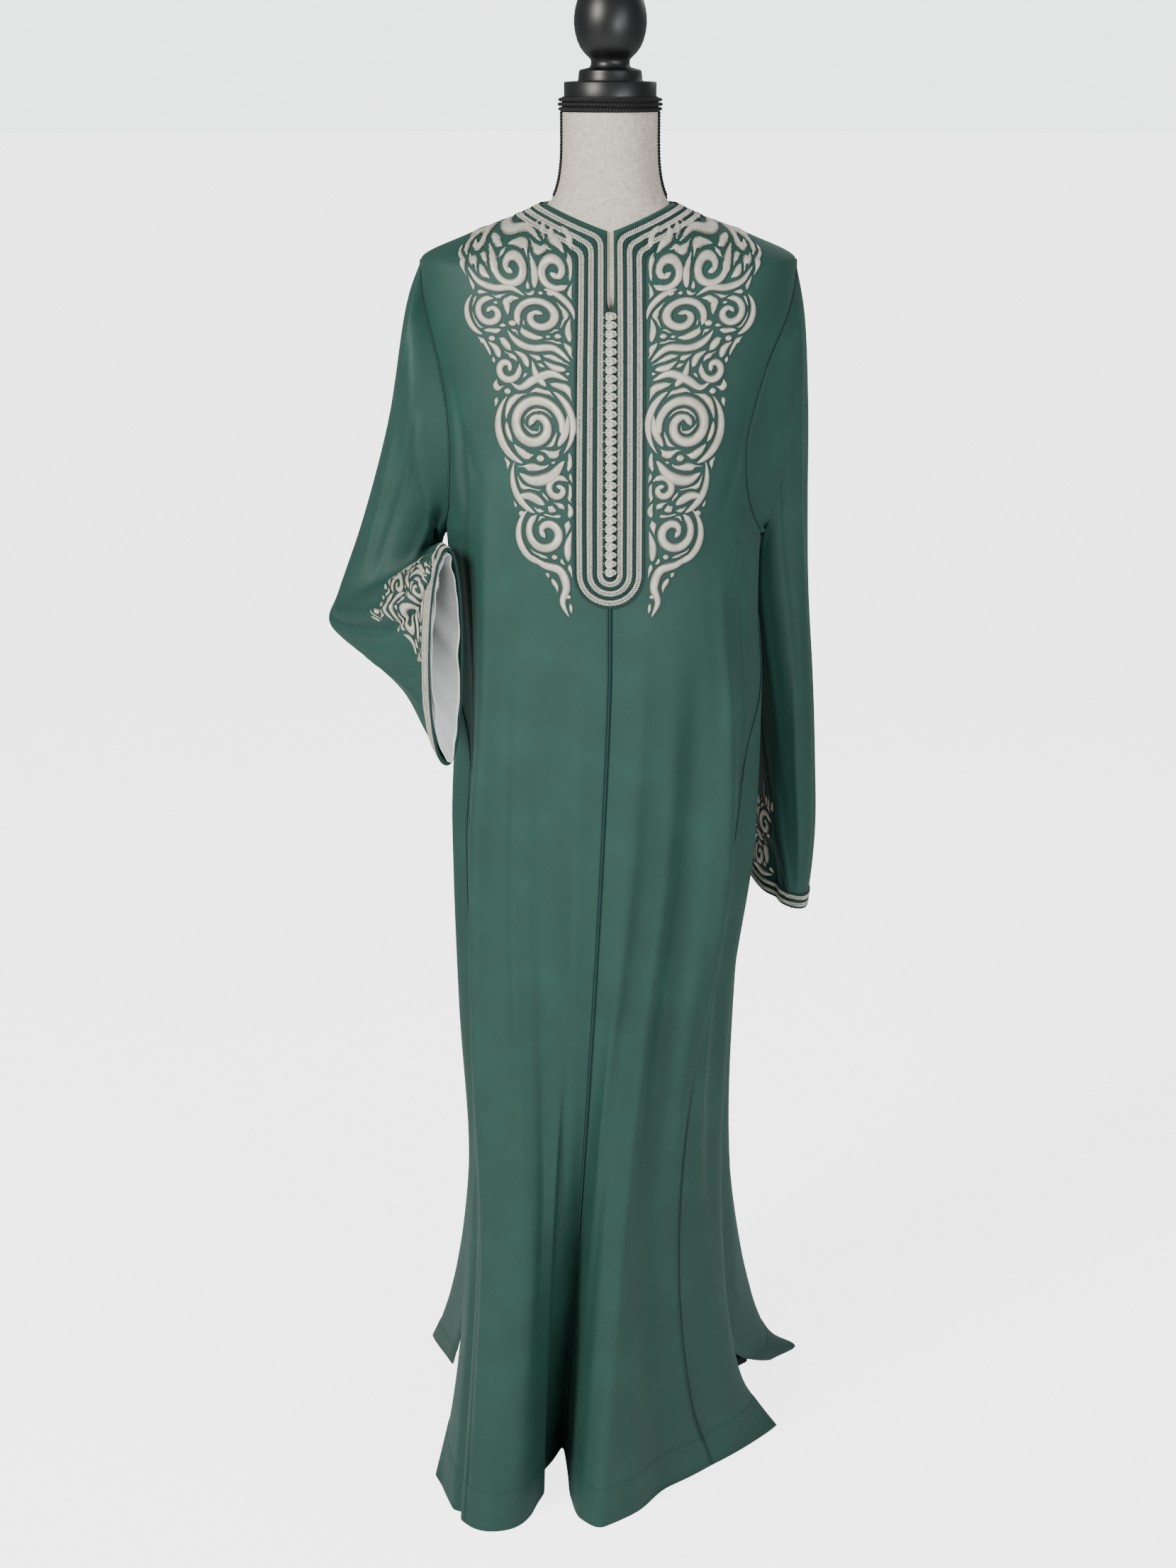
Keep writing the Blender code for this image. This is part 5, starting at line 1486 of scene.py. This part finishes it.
def filler(start, grid, room, way, size):
    """A leaf that grows from the widest free place both ways between the strokes beside it."""
    halves = []
    for side in (1, -1):
        place, heading = start.copy(), None
        found = []
        for _ in range(FILL_LONG):
            column, row = np.clip(np.round(place - grid[0]).astype(int), 1, np.array(size) - 2)
            index = row * size[0] + column
            turn = way[index] * side if heading is None else way[index] * np.sign(way[index] @ heading)
            free = room[index]
            if free < FILL_LEAST * 0.7 or (heading is not None and turn @ heading < 0.35):
                break
            found.append((place.copy(), free))
            heading = turn if heading is None else unit(heading * 0.5 + turn * 0.5)
            slope = np.array([room[index + 1] - room[index - 1],
                              room[index + size[0]] - room[index - size[0]]]) / 2
            place = place + heading * STITCH_STEP + np.clip(slope * 0.6, -0.6, 0.6)
        halves.append(found)
    points = halves[1][::-1] + halves[0][1:]
    if len(points) < 5:
        return None
    line = np.array([place for place, _ in points])
    free = np.array([free for _, free in points])
    for _ in range(2):
        line[1:-1] = (line[:-2] + 2 * line[1:-1] + line[2:]) / 4
        free[1:-1] = (free[:-2] + 2 * free[1:-1] + free[2:]) / 4
    share = np.linspace(0, 1, len(points))
    width = np.clip(2 * (free - FILL_GAP), 0.5, FILL_MOST)
    return line, width * np.clip(np.sin(math.pi * share) ** 0.6, 0.16, 1)


def filled(lines, low, size, inside, repeat=0):
    """The strokes with leaves in what is left free between them, within a region."""
    grid = np.stack(np.meshgrid(np.arange(size[0]), np.arange(size[1])), axis=-1).reshape(-1, 2) + low
    room = inside(grid)
    way = np.tile([0.0, 1.0], (len(grid), 1))

    def copies(some):
        steps = (0, -repeat, repeat) if repeat else (0,)
        return [(line + np.array([step, 0]), width) for line, width in some for step in steps]

    nearest_stroke(grid, copies(lines), room, way)
    dead = np.zeros(len(grid), bool)
    fillers = []
    for _ in range(FILL_ROUNDS):
        free = np.where(dead, -1, room)
        best = int(free.argmax())
        if free[best] < FILL_LEAST:
            break
        leaf = filler(grid[best].astype(float), grid, room, way, size)
        if leaf is None:
            dead |= np.linalg.norm(grid - grid[best], axis=1) < 2
            continue
        fillers.append(leaf)
        nearest_stroke(grid, copies([leaf]), room, way)
    return lines + fillers


def strokes(scrolls, arcs, stems, leaves, dots):
    kinds = ((scroll_line, scrolls), (arc_line, arcs), (stem_line, stems), (leaf_line, leaves),
             (dot_line, dots))
    return [drawn(row) for drawn, rows in kinds for row in rows]


def bodice_strokes():
    """The bodice's strokes, filled out to the line where the embroidery ends."""
    rows = np.array(BODICE_REACH, float)
    low = np.array([BODICE_INNER, rows[0, 0]])
    size = (int(rows[:, 1].max() - low[0]) + 2, int(rows[-1, 0] - low[1]) + 1)

    def inside(places):
        outer = np.interp(places[:, 1], rows[:, 0], rows[:, 1])
        return np.minimum(np.minimum(outer - places[:, 0], places[:, 0] - BODICE_INNER) + FILL_GAP,
                          np.minimum(rows[-1, 0] - places[:, 1], places[:, 1] - rows[0, 0]))

    lines = strokes(BODICE_SCROLLS, BODICE_ARCS, BODICE_STEMS, BODICE_LEAVES, BODICE_DOTS)
    return filled(lines, low, size, inside)


def cuff_strokes():
    """One repeat of the cuffs' strokes, filled."""
    low = np.array([0.0, CUFF_BAND_TOP])
    size = (CUFF_REPEAT, int(CUFF_HEIGHT - CUFF_BAND_TOP))

    def inside(places):
        return np.minimum(CUFF_HEIGHT - places[:, 1], places[:, 1] - CUFF_BAND_TOP) + FILL_GAP

    lines = strokes(CUFF_SCROLLS, CUFF_ARCS, CUFF_STEMS, CUFF_LEAVES, CUFF_DOTS)
    return filled(lines, low, size, inside, CUFF_REPEAT)


def embroidered(name, lines, on_cloth, material):
    """Domed satin-stitch strokes on the cloth, from flat lines with widths."""
    around = np.radians((0, 30, 62, 90, 118, 150, 180))
    corners, faces, threads, depth = [], [], [], 0
    for line, width in lines:
        way = np.gradient(line, axis=0)
        aside = np.stack([-way[:, 1], way[:, 0]], axis=-1)
        aside /= np.linalg.norm(aside, axis=1, keepdims=True)
        flat = line[:, None] + aside[:, None] * (np.cos(around) * width[:, None] / 2)[..., None]
        lift = np.sin(around) * (0.6 + 0.19 * width[:, None]) * MM + 0.15 * MM
        points, normals = on_cloth(flat.reshape(-1, 2))
        points = points + normals * lift.reshape(-1, 1)
        count = len(around)
        reach = lengths_along(line)
        for row in range(len(line)):
            for column in range(count):
                threads.append((reach[row] * MM, math.cos(around[column]) * width[row] / 2 * MM))
        corners.append(points)
        for row in range(len(line) - 1):
            for column in range(count):
                following = (column + 1) % count
                faces.append((depth + row * count + column, depth + (row + 1) * count + column,
                              depth + (row + 1) * count + following, depth + row * count + following))
        faces.append(tuple(depth + column for column in range(count)))
        faces.append(tuple(depth + (len(line) - 1) * count + column for column in range(count)))
        depth += len(line) * count
    mesh = bpy.data.meshes.new(name)
    mesh.from_pydata(placed(np.concatenate(corners)).tolist(), [], faces)
    mesh.materials.append(material)
    # How near each point lies to its stroke's edge, which the stitch material paints shade by.
    edge = mesh.attributes.new("edge", "FLOAT", "POINT")
    edge.data.foreach_set("value", np.tile(np.abs(np.cos(around)), len(mesh.vertices) // len(around)))
    layer = mesh.uv_layers.new(name="thread")
    index = np.empty(len(mesh.loops), np.int32)
    mesh.loops.foreach_get("vertex_index", index)
    layer.data.foreach_set("uv", np.array(threads, np.float32)[index].reshape(-1))
    turned_outwards(mesh).shade_smooth()
    return finished(new_object(name, mesh), "silver_thread")


def bodice_places(side):
    """What turns flat places on the bodice into points and normals on its cloth."""
    heights = np.arange(BODICE_FOOT, BODICE_TOP) * MM
    turns = np.linspace(0, 100, 201)
    grid = signed_body(np.broadcast_to(turns * side, (len(heights), len(turns))),
                       heights[:, None])[0]
    lengths = np.concatenate([np.zeros((len(heights), 1)), np.cumsum(
        np.linalg.norm(np.diff(grid, axis=1), axis=-1), axis=1)], axis=1)

    def on_cloth(flat):
        rows = np.clip(np.round(flat[:, 1] - BODICE_FOOT).astype(int), 0, len(heights) - 1)
        turn = np.array([np.interp(across * MM, lengths[row], turns)
                         for row, across in zip(rows, flat[:, 0])]) * side
        height = flat[:, 1] * MM
        points, normals = signed_body(turn, height)
        return points + normals * soft_dents(turn, height, BODY_CREASES)[:, None], normals

    return on_cloth


def cuff_places(side):
    """What turns flat places on a cuff into points and normals on its sleeve."""
    rings, normals = sleeve_cloth(side)
    lengths = np.concatenate([np.zeros((1, rings.shape[1])), np.cumsum(
        np.linalg.norm(np.diff(rings[::-1], axis=0), axis=-1), axis=0)])
    edge = np.concatenate([rings[-1], rings[-1][:1]])
    around = lengths_along(edge)

    def on_cloth(flat):
        column = np.interp(flat[:, 0] * MM % around[-1], around, np.arange(len(around)))
        points, outs = np.zeros((len(flat), 3)), np.zeros((len(flat), 3))
        for index, (place, up) in enumerate(zip(column, flat[:, 1] * MM)):
            for near, share in ((int(place), 1 - place % 1), (int(place) + 1, place % 1)):
                near %= rings.shape[1]
                row = np.interp(up, lengths[:, near], np.arange(len(lengths)))
                low = min(int(row), len(lengths) - 2)
                part = row - low
                for values, found in ((rings, points), (normals, outs)):
                    line = values[::-1, near]
                    found[index] += share * (line[low] * (1 - part) + line[low + 1] * part)
        return points, unit(outs)

    return on_cloth, around[-1] / MM


def embroider(settings):
    """Scrolls, leaves and dots in padded satin stitch on both fronts and round the cuffs."""
    silk = satin_stitch_material()
    bodice = bodice_strokes()
    for name, side in (("left", -1), ("right", 1)):
        embroidered(f"bodice_embroidery_{name}", bodice, bodice_places(side), silk)
    motif = cuff_strokes()
    for name in ("left", "right"):
        on_cloth, whole = cuff_places(name)
        repeats = round(whole / CUFF_REPEAT)
        stretch = whole / (repeats * CUFF_REPEAT)
        lines = [(np.stack([(line[:, 0] + index * CUFF_REPEAT) * stretch, line[:, 1]], axis=-1), width)
                 for index in range(repeats) for line, width in motif]
        lines = [(line, width) for line, width in lines for first, last in CUFF_SHARES[name]
                 if first < line[:, 0].min() / whole and line[:, 0].max() / whole < last]
        embroidered(f"cuff_embroidery_{name}", lines, on_cloth, silk)


def form_rings(columns):
    """Rings of the linen form, from the top of its neck down, as the solid's are."""
    turns = np.arange(columns) * 360 / columns
    signed = np.where(turns > 270, turns - 360, turns)
    rear = ((signed > 90) & (signed < 270))[:, None]
    front = np.cos(np.radians(turns)) > 0
    side = np.sin(np.radians(turns))
    rings = []
    for row in FORM_NECK:
        lowered = NECK_DROP[0].front * row.drop * (1 - np.abs(side)) * front
        rings.append(np.stack([row.radius * side, -row.radius * np.cos(np.radians(turns)),
                               row.height - lowered], axis=-1))
    for height in FORM_ROWS:
        level = np.full(len(turns), height)
        cloth_face = np.where(rear, body(signed, level, True), body(signed, level))
        normal = np.where(rear, body_normal(signed, level, True), body_normal(signed, level))
        under = cloth_face - normal * (WALL + UNDER_CLOTH)
        plain = plain_ring(FORM, signed, level)
        rings.append(under + (plain - under) * ease((1.366 - height) / 0.05))
    rings[-1][:, 2] = FORM_FOOT
    return rings


def cover_form(settings):
    """The linen torso, its side piping and the gimp round the top of its neck."""
    torso = lofted("form_torso_linen", [placed(ring) for ring in form_rings(84)],
                   linen_material(), 50)
    finished(torso, "linen", "form_torso")
    black = thread_material("black_gimp_braid", linear("#1b1b1e"), linear("#060607"), 0.9 * MM,
                            metallic=0.0, roughness=0.7)
    heights = np.linspace(NECK_TOP - 1 * MM, 1.404, 24)
    for name, turn in (("left", -91), ("right", 86)):
        radius = np.interp(-heights, [-row.height for row in FORM_NECK],
                           [row.radius for row in FORM_NECK])
        out = np.array([math.sin(math.radians(turn)), -math.cos(math.radians(turn)), 0])
        line = radius[:, None] * out + heights[:, None] * np.array([0, 0, 1.0])
        cord = cord_along(f"neck_{name}_piping", line, np.tile(out, (len(heights), 1)),
                          PIPING_CORD, black)
    core = turned("neck_gimp_core", ((0.030, NECK_TOP + GAP), (0.0484, NECK_TOP + GAP),
                                     (0.0488, 1.5045), (0.0484, TRIM_TOP), (0.030, TRIM_TOP)),
                  black, 72)
    finished(core, "gimp", "form_neck_trim")
    angle = np.arange(144) * 2 * math.pi / 144
    out = np.stack([np.cos(angle), np.sin(angle), np.zeros(144)], axis=-1)
    for name, height, radius in (("lower", 1.5000, 0.0492), ("middle", 1.5045, 0.0498),
                                 ("upper", 1.5090, 0.0492)):
        line = out * radius + (0, 0, height)
        scallop = cord_along(f"neck_gimp_{name}", line, out, GIMP_CORD, black, closed=True)


def turn_stand(settings):
    """The finial and cap, the post, the hub and three bent legs."""
    wood = wood_material()
    finial = turned("finial_turned", FINIAL, wood, 96)
    finished(finial, "black_wood", "form_finial")
    post = turned("post_turned", ((0.0002, HUB_TOP + GAP), (POST_RADIUS, HUB_TOP + GAP),
                                  (POST_RADIUS, FORM_FOOT - GAP), (0.0002, FORM_FOOT - GAP)),
                  wood, 48)
    finished(post, "black_wood", "stand_post")
    hub = turned("hub_turned", ((0.0002, HUB_FOOT), (0.018, HUB_FOOT), (0.025, 0.119),
                                (0.027, 0.127), (0.027, 0.163), (0.025, 0.171),
                                (0.018, HUB_TOP), (0.0002, HUB_TOP)), wood, 48)
    finished(hub, "black_wood", "stand_hub")
    for name, leg in LEGS.items():
        start = 0.027 + GAP
        way = np.array([math.cos(math.radians(leg.direction)), math.sin(math.radians(leg.direction))])
        reach = np.linspace(start, leg.reach, 40)
        share = (reach - start) / (leg.reach - start)
        height = FOOT_HEIGHT + (LEG_ROOT - FOOT_HEIGHT) * (1 - share) ** LEG_BOW
        line = np.stack([way[0] * reach, way[1] * reach, height], axis=-1)
        along = unit(np.gradient(line, axis=0))
        aside = np.array([-way[1], way[0], 0.0])
        rings = []
        for place, direction in zip(line, along):
            lift = np.cross(direction, aside)
            angle = np.arange(20) * 2 * math.pi / 20
            ring = place + LEG_RADIUS * (aside * np.cos(angle)[:, None] + lift * np.sin(angle)[:, None])
            ring[:, 2] = np.maximum(ring[:, 2], 0.0)
            rings.append(placed(ring))
        finished(lofted(f"leg_{name}_bent", rings, wood, 50), "black_wood", f"stand_leg_{name}")


def set_stage(settings):
    """A pale studio floor, soft lights and the camera."""
    mesh = bpy.data.meshes.new("studio_floor")
    work = bmesh.new()
    bmesh.ops.create_circle(work, cap_ends=True, segments=48, radius=60.0)
    bmesh.ops.translate(work, verts=work.verts, vec=(0, 0, -0.5 * MM))
    work.to_mesh(mesh)
    work.free()
    mesh.materials.append(floor_material(settings.paper))
    new_object("studio_floor", mesh)
    for light in LIGHTS:
        data = bpy.data.lights.new(light.name, "AREA")
        data.energy = light.watts * settings.brightness
        data.size = light.size
        data.color = light.color
        lamp = new_object(light.name, data)
        lamp.location = light.place
        aim = Vector(light.aim) - Vector(light.place)
        lamp.rotation_euler = aim.to_track_quat("-Z", "Y").to_euler()
    world = bpy.data.worlds.new("studio_air")
    world.use_nodes = True
    air = world.node_tree.nodes["Background"]
    air.inputs["Color"].default_value = linear("#eef1f2")
    # The studio's walls are seen as white as its floor, and light the cloth much less.
    seen = node(world, "ShaderNodeLightPath").outputs["Is Camera Ray"]
    glow = node(world, "ShaderNodeMath", [(0, seen), (1, SEEN_GLOW), (2, settings.air)],
                operation="MULTIPLY_ADD")
    world.node_tree.links.new(glow.outputs[0], air.inputs["Strength"])
    bpy.context.scene.world = world
    data = bpy.data.cameras.new("photo_camera")
    data.sensor_fit = "VERTICAL"
    data.sensor_height = SENSOR
    data.lens = CAMERA_FOCUS * SENSOR / IMAGE_HEIGHT
    camera = new_object("photo_camera", data)
    camera.location = Vector(POST) + Vector((CAMERA_ASIDE, -CAMERA_BEFORE, CAMERA_HEIGHT))
    camera.rotation_euler = (math.radians(90 - CAMERA_PITCH), 0, 0)
    bpy.context.scene.camera = camera


def colour(name, description, default):
    """A colour property from an sRGB hex colour."""
    return bpy.props.FloatVectorProperty(name=name, description=description, subtype="COLOR",
                                         default=linear(default), size=4, min=0, max=1)


class KaftanColours(bpy.types.PropertyGroup):
    """Colours of the crepe, its cords and its metal thread."""

    crepe: colour("Crepe", "The crepe where it catches the light", "#1f4a41")
    crepe_shade: colour("Crepe Shade", "The crepe's darker slubs", "#163a33")
    cord: colour("Cord", "The silk cords on the seams", "#1b4643")
    cord_shade: colour("Cord Shade", "The hollows between the cords' plies", "#0a2a29")
    silver: colour("Silver", "The metal thread's bright lines", "#e6e3d8")
    silver_shade: colour("Silver Shade", "The metal thread's hollows", "#918d80")


class KaftanStage(bpy.types.PropertyGroup):
    """The floor and lights."""

    paper: colour("Floor", "The studio paper under and behind the kaftan", "#fbfcfc")
    brightness: bpy.props.FloatProperty(
        name="Brightness", description="Share of the lights' full power", default=1.0, min=0.0,
        max=4.0, subtype="FACTOR")
    air: bpy.props.FloatProperty(
        name="Air", description="Strength of the light that comes from all round", default=0.36,
        min=0.0, max=2.0)


def operator(work, text, group="kaftan_colours"):
    """An operator, named after its work, that makes one group of pieces from some properties."""

    def execute(self, context):
        work(getattr(context.scene, group))
        return {"FINISHED"}

    label = work.__name__.replace("_", " ").title()
    return type(label.replace(" ", ""), (bpy.types.Operator,), {
        "__doc__": text, "bl_idname": f"kaftan.{work.__name__}", "bl_label": label,
        "execute": execute})


# Each piece or group of pieces, in the order of making.
STEPS = (
    operator(sew_body, "Sew the fronts, back and gores"),
    operator(set_sleeves, "Set in the sleeves and line their cuffs"),
    operator(lay_braids, "Lay the silver braids on neck and cuffs"),
    operator(couch_cords, "Couch twisted cords along the seams"),
    operator(stitch_hem, "Stitch the turned-up hem"),
    operator(tie_buttons, "Tie the knotted buttons"),
    operator(embroider, "Embroider the scrolls on fronts and cuffs"),
    operator(cover_form, "Cover the dress form with linen", "kaftan_stage"),
    operator(turn_stand, "Turn the finial and the stand", "kaftan_stage"),
    operator(set_stage, "Set the floor, lights and camera", "kaftan_stage"),
)


class KaftanPanel(bpy.types.Panel):
    """Lists the makers and the values they use."""

    bl_idname = "VIEW3D_PT_kaftan"
    bl_label = "Kaftan"
    bl_space_type = "VIEW_3D"
    bl_region_type = "UI"
    bl_category = "Kaftan"

    def draw(self, context):
        for step in STEPS:
            self.layout.operator(step.bl_idname)
        for group in ("kaftan_colours", "kaftan_stage"):
            settings = getattr(context.scene, group)
            for name in settings.bl_rna.properties.keys():
                if name not in ("rna_type", "name"):
                    self.layout.prop(settings, name)


CLASSES = (KaftanColours, KaftanStage) + STEPS + (KaftanPanel,)


def register():
    for kind in CLASSES:
        bpy.utils.register_class(kind)
    bpy.types.Scene.kaftan_colours = bpy.props.PointerProperty(type=KaftanColours)
    bpy.types.Scene.kaftan_stage = bpy.props.PointerProperty(type=KaftanStage)


def unregister():
    del bpy.types.Scene.kaftan_colours
    del bpy.types.Scene.kaftan_stage
    for kind in reversed(CLASSES):
        bpy.utils.unregister_class(kind)


def main():
    register()
    for step in STEPS:
        getattr(bpy.ops.kaftan, step.bl_idname.split(".")[1])()


if __name__ == "__main__":
    main()
